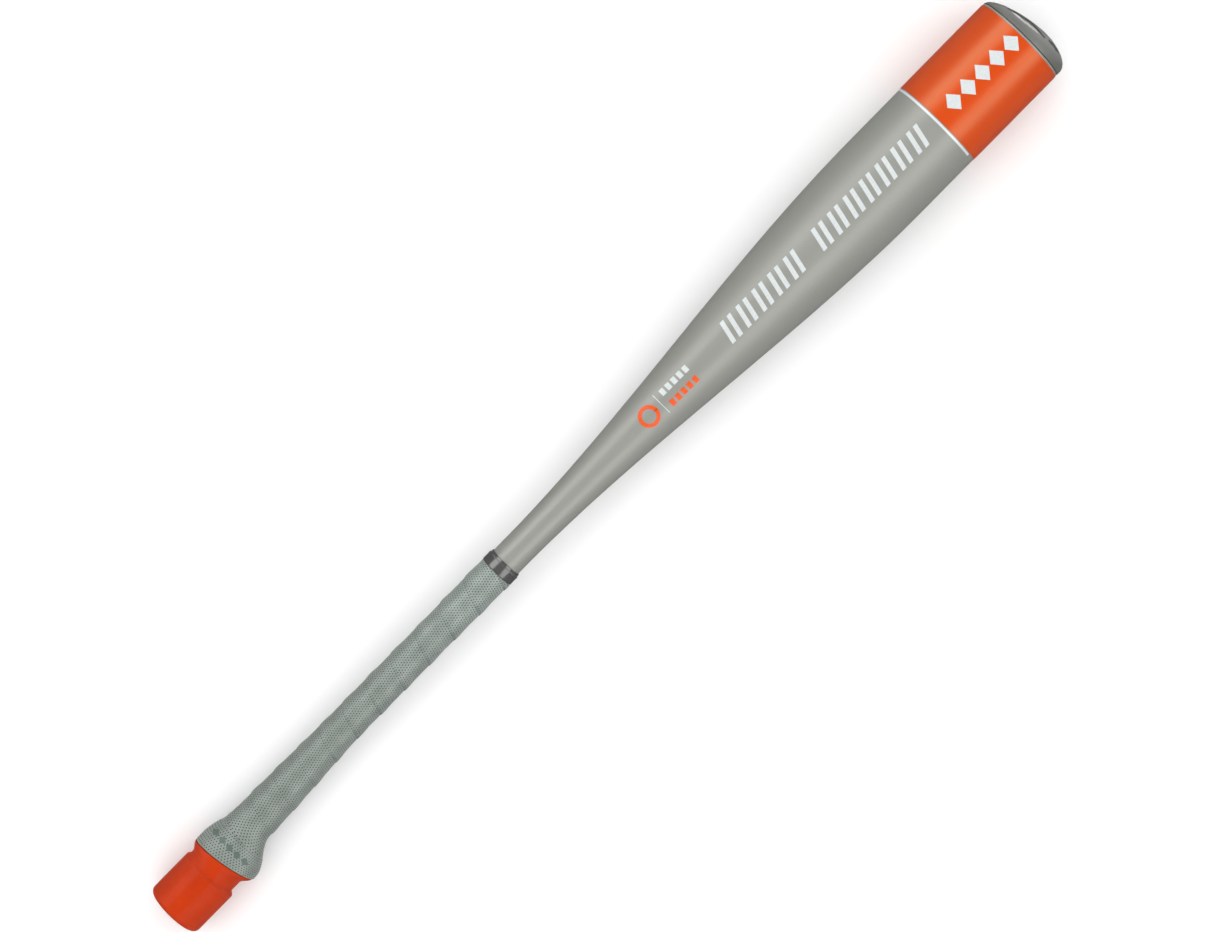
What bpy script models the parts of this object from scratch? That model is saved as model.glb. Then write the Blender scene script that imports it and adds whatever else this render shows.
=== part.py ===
# A ball bat for swing training, with its extra weight below the knob, lying on the floor.
# Bat frame: stations run along +X from the counterweight's flat butt to the cap's tip,
# the knob's heel points to -Y. The empty "bat_rest" lays that frame on the floor.

import math

import bmesh
import bpy
from mathutils import Matrix, Vector

# Lengths along the bat, in metres, measured from the butt.
BAT_LENGTH = 0.762
KNOB_BASE = 0.048
OVERALL_LENGTH = KNOB_BASE + BAT_LENGTH
KNOB_SLANT = math.radians(9.0)
COLLAR_START = 0.3106
COLLAR_END = 0.3196
TAPER_START = 0.328
TAPER_END = 0.672
TAPER_STEPS = 14
BAND_START = 0.7195
BARREL_END = 0.7959

# Radii and wall thicknesses.
BARREL_RADIUS = 0.0330
BAND_RADIUS = 0.03334
TUBE_NECK_RADIUS = 0.0112
TUBE_GRIP_RADIUS = 0.0105
TUBE_WALL = 0.0020
GRIP_RADIUS = 0.01195
GRIP_THICKNESS = 0.0011
COLLAR_RADIUS = 0.0125
WEIGHT_RADIUS = 0.02045
WEIGHT_OFFSET = -0.00525
NECK_OFFSET = -0.0046
BUTT_ROUND = 0.004
BOLT_RADIUS = 0.004

FIT_GAP = 0.0003
FILM_GAP = 0.00006
SEGMENTS = 40
ROUND_STEPS = 5

PAINT_GREY = (0.36, 0.37, 0.34, 1)
ORANGE_FILM = (0.75, 0.07, 0.01, 1)
ORANGE_RUBBER = (0.62, 0.06, 0.01, 1)
CAP_GREY = (0.12, 0.125, 0.115, 1)
CAP_GLOSS = (0.5, 0.505, 0.5, 1)
GRIP_GREEN = (0.27, 0.33, 0.30, 1)
COLLAR_GREY = (0.10, 0.10, 0.10, 1)
CORE_BLACK = (0.02, 0.02, 0.02, 1)
STEEL = (0.42, 0.42, 0.43, 1)
ALLOY = (0.62, 0.62, 0.63, 1)
FOAM = (0.55, 0.55, 0.50, 1)


def clear_scene():
    for obj in list(bpy.data.objects):
        bpy.data.objects.remove(obj)


def new_collection(name):
    collection = bpy.data.collections.new(name)
    bpy.context.scene.collection.children.link(collection)
    return collection


def new_material(name, color, roughness, metallic=0.0):
    material = bpy.data.materials.new(name)
    material.use_nodes = True
    shader = material.node_tree.nodes["Principled BSDF"]
    shader.inputs["Base Color"].default_value = color
    shader.inputs["Roughness"].default_value = roughness
    shader.inputs["Metallic"].default_value = metallic
    return material


clear_scene()
parts = new_collection("weighted_training_bat")
cutters = new_collection("cutters")
bat_rest = bpy.data.objects.new("bat_rest", None)
parts.objects.link(bat_rest)


def add_part(name, mesh, color, roughness, metallic=0.0):
    part = bpy.data.objects.new(name, mesh)
    part.data.materials.append(new_material(name, color, roughness, metallic))
    part.parent = bat_rest
    parts.objects.link(part)
    return part


def add_cutter(name, mesh):
    cutter = bpy.data.objects.new(name, mesh)
    cutter.hide_render = True
    cutter.display_type = "WIRE"
    cutter.parent = bat_rest
    cutters.objects.link(cutter)
    return cutter


def cut(part, cutter):
    boolean = part.modifiers.new(cutter.name, "BOOLEAN")
    boolean.operation = "DIFFERENCE"
    boolean.object = cutter


def ease(value, start, end):
    """0 before start, 1 after end, and a smooth S between them."""
    share = min(max((value - start) / (end - start), 0.0), 1.0)
    return share * share * (3 - 2 * share)


def spread(start, end, count):
    return [start + (end - start) * step / (count - 1) for step in range(count)]


# --- Turned pieces -----------------------------------------------------------------


def turned(name, profile, color, roughness, metallic=0.0, segments=SEGMENTS, closed=True):
    """A piece turned about the bat's axis from (station, radius) points, outer side first."""
    mesh = bpy.data.meshes.new(name)
    points = [(radius, 0, station) for station, radius in profile]
    edges = [(step, step + 1) for step in range(len(points) - 1)]
    if closed:
        edges.append((len(points) - 1, 0))
    mesh.from_pydata(points, edges, [])
    part = add_part(name, mesh, color, roughness, metallic)
    part.rotation_euler = (0, math.pi / 2, 0)
    screw = part.modifiers.new("turn", "SCREW")
    screw.axis = "Z"
    screw.steps = segments
    screw.render_steps = segments
    screw.use_merge_vertices = True
    screw.merge_threshold = 0.00001
    screw.use_smooth_shade = True
    return part


def rod_mesh(name, radius, start, end, offset=0.0, sides=SEGMENTS):
    """A cylinder along the bat from start to end, its axis shifted along Y by offset."""
    mesh = bpy.data.meshes.new(name)
    solid = bmesh.new()
    bmesh.ops.create_cone(
        solid, cap_ends=True, segments=sides, radius1=radius, radius2=radius, depth=end - start
    )
    place = Matrix.Translation(((start + end) / 2, offset, 0)) @ Matrix.Rotation(math.pi / 2, 4, "Y")
    bmesh.ops.transform(solid, matrix=place, verts=solid.verts)
    solid.to_mesh(mesh)
    solid.free()
    mesh.shade_smooth()
    mesh.set_sharp_from_angle(angle=math.radians(40))
    return mesh


def tube_radius(station):
    """Outer radius of the alloy tube: straight under the grip, then the long taper."""
    grip_swell = (TUBE_NECK_RADIUS - TUBE_GRIP_RADIUS) * ease(station, 0.250, 0.330)
    taper = (BARREL_RADIUS - TUBE_NECK_RADIUS) * ease(station, TAPER_START, TAPER_END)
    return TUBE_GRIP_RADIUS + grip_swell + taper


def barrel_shell():
    start = 0.0546
    lip_start = BARREL_END - 0.0030
    lip_radius = 0.0288
    edge_round = 0.0012
    stations = [start, 0.250, 0.290] + spread(TAPER_START, TAPER_END, TAPER_STEPS + 1) + [0.735]
    outer = [(station, tube_radius(station)) for station in reversed(stations)]
    inner = [(station, tube_radius(station) - TUBE_WALL) for station in stations]
    rim = [
        (lip_start, BARREL_RADIUS - TUBE_WALL),
        (lip_start, lip_radius),
        (BARREL_END, lip_radius),
        (BARREL_END, BARREL_RADIUS - edge_round),
        (BARREL_END - edge_round, BARREL_RADIUS),
    ]
    tube = turned("barrel_shell", rim + outer + inner, PAINT_GREY, 0.38, 0.15)
    cut(tube, cross_hole)
    return tube


def end_band_wrap():
    inner = BARREL_RADIUS + FILM_GAP
    end = BARREL_END - 0.0016
    profile = [(end, BAND_RADIUS), (BAND_START, BAND_RADIUS), (BAND_START, inner), (end, inner)]
    return turned("end_band_wrap", profile, ORANGE_FILM, 0.35)


def grip_collar():
    rim = 0.0006
    inner = TUBE_NECK_RADIUS + FIT_GAP
    profile = [
        (COLLAR_END, COLLAR_RADIUS - rim),
        (COLLAR_END - rim, COLLAR_RADIUS),
        (COLLAR_START + rim, COLLAR_RADIUS),
        (COLLAR_START, COLLAR_RADIUS - rim),
        (COLLAR_START, inner),
        (COLLAR_END, inner),
    ]
    return turned("grip_collar", profile, COLLAR_GREY, 0.22)


def damper(name, start, end):
    """A foam plug that fills the tube between two stations."""
    gap = FIT_GAP + 0.0001
    ends = [(station, tube_radius(station) - TUBE_WALL - gap) for station in (end, start)]
    return turned(name, [(end, 0)] + ends + [(start, 0)], FOAM, 0.95, closed=False)


# --- Counterweight and its fastening -------------------------------------------------

SLUG_START = 0.0036
SLUG_END = 0.0321
SLUG_RADIUS = 0.0170
SEAT = 0.0160
PLUG_START = 0.0549
PLUG_END = 0.0980
PIN_STATION = 0.0915
PIN_RADIUS = 0.0015
HOLE_RADIUS = BOLT_RADIUS + 0.0004


def counterweight_slug():
    mesh = rod_mesh("counterweight_slug", SLUG_RADIUS, SLUG_START, SLUG_END, WEIGHT_OFFSET)
    slug = add_part("counterweight_slug", mesh, STEEL, 0.45, 1.0)
    seat_mesh = rod_mesh("slug_seat_cut", 0.0090, SLUG_START - 0.002, SEAT, sides=24)
    bore_mesh = rod_mesh("slug_bore_cut", HOLE_RADIUS, SEAT - 0.002, SLUG_END + 0.002, sides=24)
    cut(slug, add_cutter("slug_seat_cut", seat_mesh))
    cut(slug, add_cutter("slug_bore_cut", bore_mesh))
    return slug


def washer(name, start, end, radius):
    profile = [(end, radius), (start, radius), (start, HOLE_RADIUS), (end, HOLE_RADIUS)]
    return turned(name, profile, STEEL, 0.35, 1.0, segments=24)


def bolt_lock_washer():
    """A spring washer: a ring with a narrow slanted split."""
    ring = washer("bolt_lock_washer", 0.0121, 0.0139, 0.0070)
    mesh = bpy.data.meshes.new("washer_split_cut")
    solid = bmesh.new()
    bmesh.ops.create_cube(solid, size=1)
    size = Matrix.Diagonal((0.006, 0.0016, 0.010, 1))
    turn = Matrix.Rotation(math.radians(20), 4, "Z")
    bmesh.ops.transform(solid, matrix=Matrix.Translation((0.013, 0, 0.0065)) @ turn @ size, verts=solid.verts)
    solid.to_mesh(mesh)
    solid.free()
    cut(ring, add_cutter("washer_split_cut", mesh))
    return ring


def weight_bolt():
    head_start = 0.0038
    head_end = head_start + 0.0080
    head_radius = 0.0065
    chamfer = 0.0006
    tip = 0.0800
    profile = [
        (tip, 0),
        (tip, BOLT_RADIUS - chamfer),
        (tip - chamfer, BOLT_RADIUS),
        (head_end, BOLT_RADIUS),
        (head_end, head_radius),
        (head_start + chamfer, head_radius),
        (head_start, head_radius - chamfer),
        (head_start, 0),
    ]
    bolt = turned("weight_bolt", profile, STEEL, 0.30, 1.0, segments=24, closed=False)
    socket = rod_mesh("bolt_socket_cut", 0.0035, head_start - 0.002, head_start + 0.0042, sides=6)
    cut(bolt, add_cutter("bolt_socket_cut", socket))
    return bolt


def threaded_plug():
    radius = TUBE_GRIP_RADIUS - TUBE_WALL - FIT_GAP
    bore_end = 0.0830
    profile = [
        (PLUG_END, 0),
        (PLUG_END, radius),
        (PLUG_START, radius),
        (PLUG_START, HOLE_RADIUS),
        (bore_end, HOLE_RADIUS),
        (bore_end, 0),
    ]
    plug = turned("threaded_plug", profile, ALLOY, 0.40, 1.0, closed=False)
    cut(plug, cross_hole)
    return plug


def upright_rod(name, radius, length):
    """A cylinder across the tube, along Z, at the cross pin's station."""
    mesh = bpy.data.meshes.new(name)
    solid = bmesh.new()
    bmesh.ops.create_cone(solid, cap_ends=True, segments=16, radius1=radius, radius2=radius, depth=length)
    bmesh.ops.transform(solid, matrix=Matrix.Translation((PIN_STATION, 0, 0)), verts=solid.verts)
    solid.to_mesh(mesh)
    solid.free()
    return mesh


def plug_cross_pin():
    length = 2 * (TUBE_GRIP_RADIUS - FIT_GAP)
    return add_part("plug_cross_pin", upright_rod("plug_cross_pin", PIN_RADIUS, length), STEEL, 0.35, 1.0)


# --- Lofted pieces: the oval handle, its tape and the weight's cover -------------------


def oval_ring(station, left, right, half):
    """An oval section: left is its reach to +Y, right to -Y, half its reach up and down."""
    centre = (left - right) / 2
    width = (left + right) / 2
    angles = [2 * math.pi * step / SEGMENTS for step in range(SEGMENTS)]
    return [Vector((station, centre + width * math.cos(a), half * math.sin(a))) for a in angles]


def round_ring(station, radius, offset=0.0):
    return oval_ring(station, radius + offset, radius - offset, radius)


def loft_mesh(name, rings, capped):
    """Joins rings in order. Capped closes both ends flat, otherwise the last meets the first."""
    solid = bmesh.new()
    rows = [[solid.verts.new(point) for point in ring] for ring in rings]
    pairs = list(zip(rows, rows[1:]))
    if capped:
        solid.faces.new(rows[0])
        solid.faces.new(rows[-1])
    else:
        pairs.append((rows[-1], rows[0]))
    for row, following in pairs:
        for step in range(SEGMENTS):
            beside = (step + 1) % SEGMENTS
            solid.faces.new((row[step], row[beside], following[beside], following[step]))
    bmesh.ops.recalc_face_normals(solid, faces=solid.faces)
    mesh = bpy.data.meshes.new(name)
    solid.to_mesh(mesh)
    solid.free()
    mesh.shade_smooth()
    mesh.set_sharp_from_angle(angle=math.radians(40))
    return mesh


def knob_plane_cutter(name, side):
    """A block that stops at the slanted knob base. Side +1 lies towards the barrel, -1 towards the butt."""
    size = 0.09
    mesh = bpy.data.meshes.new(name)
    solid = bmesh.new()
    bmesh.ops.create_cube(solid, size=size)
    solid.to_mesh(mesh)
    solid.free()
    block = add_cutter(name, mesh)
    normal = Vector((math.cos(KNOB_SLANT), math.sin(KNOB_SLANT), 0))
    block.rotation_euler = (0, 0, KNOB_SLANT)
    block.location = Vector((KNOB_BASE, 0, 0)) + normal * side * (size / 2 - FIT_GAP / 2)
    return block


def grip_section(station, inset=0.0):
    """The tape's outer oval at a station, or that oval drawn in by inset."""
    swell = 0.00045 * ease(station, 0.240, COLLAR_START)
    left = GRIP_RADIUS + swell + 0.00115 * (1 - ease(station, 0.080, 0.170))
    left += 0.0042 * (1 - ease(station, 0.052, 0.078))
    right = GRIP_RADIUS + swell + 0.0040 * (1 - ease(station, 0.080, 0.180))
    right += 0.01185 * (1 - ease(station, 0.055, 0.081))
    half = GRIP_RADIUS + swell + 0.0009 * (1 - ease(station, 0.080, 0.170))
    half += 0.0048 * (1 - ease(station, 0.052, 0.076))
    return oval_ring(station, left - inset, right - inset, half - inset)


KNOB_STATIONS = [0.041] + spread(0.052, 0.080, 8)


def grip_wrap():
    end = COLLAR_START - FIT_GAP
    stations = KNOB_STATIONS + [0.095, 0.110, 0.125, 0.140, 0.160, 0.180, 0.240, 0.276, end]
    outer = [grip_section(station) for station in stations]
    inner = [grip_section(station, GRIP_THICKNESS) for station in reversed(stations)]
    grip = add_part("grip_wrap", loft_mesh("grip_wrap", outer + inner, False), GRIP_GREEN, 0.75)
    cut(grip, below_knob_base)
    return grip


def handle_core():
    end = 0.120
    floor = 0.0543
    bore = TUBE_GRIP_RADIUS + FIT_GAP
    inset = GRIP_THICKNESS + FIT_GAP
    stations = KNOB_STATIONS + [0.095, 0.110, end]
    outer = [grip_section(station, inset) for station in stations]
    inner = [(end, bore), (floor, bore), (floor, HOLE_RADIUS), (KNOB_STATIONS[0], HOLE_RADIUS)]
    rings = outer + [round_ring(station, radius) for station, radius in inner]
    core = add_part("handle_core", loft_mesh("handle_core", rings, False), CORE_BLACK, 0.55)
    cut(core, below_knob_base)
    return core


def cover_section(station):
    """The rubber cover's outer section: weight body, shoulder, neck, then the flange."""
    waist = ease(station, 0.0348, 0.0370)
    left = (WEIGHT_RADIUS + WEIGHT_OFFSET) * (1 - waist) + 0.0137 * waist
    right = (WEIGHT_RADIUS - WEIGHT_OFFSET) * (1 - waist) + 0.0229 * waist
    half = WEIGHT_RADIUS * (1 - waist) + 0.0183 * waist
    left += 0.0036 * ease(station, 0.0385, 0.0452)
    right += 0.0045 * ease(station, 0.0450, 0.0522)
    half -= 0.0006 * ease(station, 0.0400, 0.0480)
    return oval_ring(station, left, right, half)


def counterweight_cover():
    cavity = SLUG_RADIUS + FIT_GAP
    neck_bore = 0.0155
    ledge = SLUG_END + FIT_GAP
    floor = SLUG_START - FIT_GAP
    butt = []
    for step in range(ROUND_STEPS):
        angle = math.pi / 2 * step / ROUND_STEPS
        inset = BUTT_ROUND * (1 - math.sin(angle))
        butt.append(round_ring(BUTT_ROUND * (1 - math.cos(angle)), WEIGHT_RADIUS - inset, WEIGHT_OFFSET))
    stations = [BUTT_ROUND, 0.020] + spread(0.0348, 0.0370, 4) + spread(0.0385, 0.0525, 8) + [0.055]
    inside = [
        round_ring(0.055, neck_bore, NECK_OFFSET),
        round_ring(ledge, neck_bore, NECK_OFFSET),
        round_ring(ledge, cavity, WEIGHT_OFFSET),
        round_ring(floor, cavity, WEIGHT_OFFSET),
    ]
    rings = butt + [cover_section(station) for station in stations] + inside
    mesh = loft_mesh("counterweight_cover", rings, True)
    cover = add_part("counterweight_cover", mesh, ORANGE_RUBBER, 0.55)
    cut(cover, above_knob_base)
    return cover


def weight_adapter():
    radius = 0.0152
    mesh = rod_mesh("weight_adapter", radius, SLUG_END + FIT_GAP, 0.060, NECK_OFFSET)
    adapter = add_part("weight_adapter", mesh, CORE_BLACK, 0.5)
    bore = rod_mesh("adapter_bore_cut", HOLE_RADIUS, SLUG_END - 0.002, 0.062, sides=24)
    cut(adapter, add_cutter("adapter_bore_cut", bore))
    cut(adapter, above_knob_base)
    return adapter


# --- End cap: an off-centre dome with windows over a glossy inlay ----------------------

CAP_BASE = BARREL_END + FIT_GAP
CAP_HEIGHT = OVERALL_LENGTH - CAP_BASE
CAP_SHIFT = -0.009
CAP_WALL = 0.0011
SKIRT_BORE = 0.0255


def dome_point(latitude, around, inset=0.0):
    """A point of the dome, or of one drawn in by inset. Around is measured from +Y."""
    height = math.sin(latitude)
    radius = (BARREL_RADIUS - inset) * math.cos(latitude) ** 1.2
    centre = CAP_SHIFT * height**1.4
    station = CAP_BASE + (CAP_HEIGHT - inset) * height
    return Vector((station, centre + radius * math.cos(around), radius * math.sin(around)))


def dome_rings(latitudes, inset=0.0):
    turns = [2 * math.pi * step / SEGMENTS for step in range(SEGMENTS)]
    return [[dome_point(math.radians(lat), turn, inset) for turn in turns] for lat in latitudes]


def window_cutter(name, start, end, latitude, swell):
    """A lens-shaped block that cuts one window through the cap's wall. Angles in degrees."""
    steps = 8
    solid = bmesh.new()
    rows = []
    for step in range(steps + 1):
        around = math.radians(start + (end - start) * step / steps)
        half = 3 + swell * math.sin(math.pi * step / steps)
        low, high = math.radians(latitude - half), math.radians(latitude + half)
        corners = [(low, -0.002), (high, -0.002), (high, CAP_WALL + 0.0004), (low, CAP_WALL + 0.0004)]
        rows.append([solid.verts.new(dome_point(lat, around, inset)) for lat, inset in corners])
    for row, following in zip(rows, rows[1:]):
        for corner in range(4):
            beside = (corner + 1) % 4
            solid.faces.new((row[corner], row[beside], following[beside], following[corner]))
    solid.faces.new(rows[0])
    solid.faces.new(rows[-1])
    bmesh.ops.recalc_face_normals(solid, faces=solid.faces)
    mesh = bpy.data.meshes.new(name)
    solid.to_mesh(mesh)
    solid.free()
    return add_cutter(name, mesh)


def end_cap():
    lip_end = BARREL_END - 0.0030 - FIT_GAP
    skirt_start = lip_end - 0.0060
    outer = dome_rings([0, 8, 18, 28, 38, 48, 58, 68, 78, 86])
    inner = dome_rings([84, 72, 60, 48, 36], CAP_WALL)
    skirt = [
        round_ring(CAP_BASE + 0.0018, SKIRT_BORE),
        round_ring(skirt_start, SKIRT_BORE),
        round_ring(skirt_start, 0.0298),
        round_ring(skirt_start + 0.0015, 0.0303),
        round_ring(lip_end, 0.0303),
        round_ring(lip_end, 0.0284),
        round_ring(CAP_BASE, 0.0284),
    ]
    # The loft starts at the dome's pole, runs down the outside, up the bore and ends under the pole.
    rings = outer[::-1] + skirt[::-1] + inner[::-1]
    mesh = loft_mesh("end_cap", rings, True)
    cap = add_part("end_cap", mesh, CAP_GREY, 0.6)
    for side, name in ((1, "upper"), (-1, "lower")):
        cut(cap, window_cutter(f"{name}_large_window_cut", side * 10, side * 104, 40, 13))
        cut(cap, window_cutter(f"{name}_small_window_cut", side * 111, side * 146, 46, 7))
    return cap


def end_cap_inlay():
    rim_start = CAP_BASE - 0.0040
    rim = SKIRT_BORE - FIT_GAP
    wall = 0.0015
    outer = dome_rings([82, 72, 60, 48, 38], CAP_WALL + FIT_GAP)
    inner = dome_rings([40, 50, 62, 76], CAP_WALL + FIT_GAP + wall)
    sleeve = [
        round_ring(CAP_BASE + 0.0018, rim),
        round_ring(rim_start, rim),
        round_ring(rim_start, rim - wall),
        round_ring(CAP_BASE + 0.0006, rim - wall),
    ]
    mesh = loft_mesh("end_cap_inlay", outer + sleeve + inner, True)
    return add_part("end_cap_inlay", mesh, CAP_GLOSS, 0.12)


# --- Assembly --------------------------------------------------------------------------

cross_hole = add_cutter("cross_hole_cut", upright_rod("cross_hole_cut", PIN_RADIUS + FIT_GAP, 0.030))
below_knob_base = knob_plane_cutter("below_knob_base_cut", -1)
above_knob_base = knob_plane_cutter("above_knob_base_cut", 1)

barrel_shell()
end_band_wrap()
end_cap()
end_cap_inlay()
damper("barrel_damper", 0.768, 0.783)
damper("taper_damper", 0.400, 0.425)
grip_collar()
grip_wrap()
handle_core()
threaded_plug()
plug_cross_pin()
weight_adapter()
counterweight_slug()
counterweight_cover()
weight_bolt()
washer("bolt_washer", 0.0142, 0.0157, 0.0080)
bolt_lock_washer()

# The bat lies on the butt end of its weight and on the last step of the barrel's taper.
rest_station = TAPER_END - (TAPER_END - TAPER_START) / TAPER_STEPS
rest_radius = tube_radius(rest_station)
rest_tilt = math.atan2(rest_radius - WEIGHT_RADIUS, rest_station - BUTT_ROUND)
cosine, sine = math.cos(rest_tilt), math.sin(rest_tilt)

# The barrel end tilts up, and the origin lies on the floor under the middle of the length.
butt_reach = (WEIGHT_RADIUS - BUTT_ROUND) * sine
bat_rest.rotation_euler = (0, -rest_tilt, 0)
bat_rest.location = (
    (butt_reach - OVERALL_LENGTH * cosine) / 2,
    0,
    rest_radius * cosine - rest_station * sine,
)
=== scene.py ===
import math

import bmesh
import bpy
from mathutils import Matrix, Vector, noise


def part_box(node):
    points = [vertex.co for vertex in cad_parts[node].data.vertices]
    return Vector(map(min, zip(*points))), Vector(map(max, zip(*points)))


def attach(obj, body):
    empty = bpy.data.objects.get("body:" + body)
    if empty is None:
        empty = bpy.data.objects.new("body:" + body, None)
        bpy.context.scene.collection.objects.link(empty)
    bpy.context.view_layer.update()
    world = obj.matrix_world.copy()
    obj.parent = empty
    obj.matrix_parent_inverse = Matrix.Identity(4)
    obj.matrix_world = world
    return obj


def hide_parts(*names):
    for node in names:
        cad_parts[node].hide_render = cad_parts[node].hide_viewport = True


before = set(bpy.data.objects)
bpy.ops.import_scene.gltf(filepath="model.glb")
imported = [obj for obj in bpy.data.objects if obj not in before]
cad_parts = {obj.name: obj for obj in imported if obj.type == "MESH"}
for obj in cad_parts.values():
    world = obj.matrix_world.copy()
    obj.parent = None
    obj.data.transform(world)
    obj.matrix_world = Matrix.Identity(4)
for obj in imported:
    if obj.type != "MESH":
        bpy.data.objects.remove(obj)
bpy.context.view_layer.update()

print("frame: the packed bat is loaded")

# Stations run along the bat in metres, from the flat butt to the cap's tip.
# In the bat's own frame X is the station, +Y the side away from the knob's heel, and +Z up.
batSizes = {
    "plugMiddle": 0.07645,  # station of the threaded plug's middle
    "knobBase": 0.048,
    "knobSlant": math.radians(9.0),
    "collarStart": 0.3106,
    "collarEnd": 0.3196,
    "taperStart": 0.328,
    "taperEnd": 0.672,
    "barrelEnd": 0.7959,
    "barrelRadius": 0.0330,
    "neckRadius": 0.0112,
    "gripTubeRadius": 0.0105,
    "neckFrom": 0.250,  # the tube swells from its grip radius to its neck radius over this stretch
    "neckTo": 0.330,
    "tubeWall": 0.0020,
    "fitGap": 0.0003,
}


def boxMiddle(node):
    low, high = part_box(node)
    return (low + high) / 2


alongBat = (boxMiddle("barrel_damper") - boxMiddle("threaded_plug")).normalized()
acrossBat = Vector((0, 1, 0))
buttPoint = boxMiddle("threaded_plug") - alongBat * batSizes["plugMiddle"]
batTurn = Matrix((alongBat, acrossBat, alongBat.cross(acrossBat))).transposed()
batPlace = Matrix.Translation(buttPoint) @ batTurn.to_4x4()


def ease(value, start, end):  # 0 before start, 1 after end, a smooth S between
    share = min(max((value - start) / (end - start), 0.0), 1.0)
    return share * share * (3 - 2 * share)


def mix(low, high, share):
    return low + (high - low) * share


def fullTurn(count):
    return [2 * math.pi * step / count for step in range(count)]


def tubeRadius(station):
    swell = batSizes["neckRadius"] - batSizes["gripTubeRadius"]
    swell *= ease(station, batSizes["neckFrom"], batSizes["neckTo"])
    growth = batSizes["barrelRadius"] - batSizes["neckRadius"]
    taper = growth * ease(station, batSizes["taperStart"], batSizes["taperEnd"])
    return batSizes["gripTubeRadius"] + swell + taper


# Camera, lights, world and floor come first.

studio = {
    "lens": 105.6,
    "distance": 2.3275,
    "aim": (0.0058, -0.0031, 0.028),
    "lean": math.radians(1.9),  # the camera stands a little towards the barrel
    "roll": math.radians(-45.45),  # the bat runs up to the right across the picture
    "strips": ((44.0, 23.5), (-43.5, 20.0)),  # degrees from overhead towards +Y, and watts
    "stripDistance": 1.5,
    "stripLength": 4.0,
    "stripWidth": 0.90,
    "overheadSize": 10.0,
    "overheadHeight": 2.7,
    "overheadPower": 455.0,
    "skyTop": 0.14,
    "skyRim": 0.11,
    "skyFull": 0.9,  # the Z of a direction from which the surround is at its top strength
    "endCard": 1.1,  # a pale card low beyond the barrel's end
    "cardSides": (0.40, 0.85),  # where it starts and is full, as the X of a direction
    "cardTop": 0.50,  # the Z of a direction above which it ends
    "wallGlow": (0.98, 0.72),  # at the floor and at the fade's height
    "wallFade": 4.0,
    "floorSize": 9.0,
    "backdropRadius": 6.0,
    "backdropHeight": 9.0,
}


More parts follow.
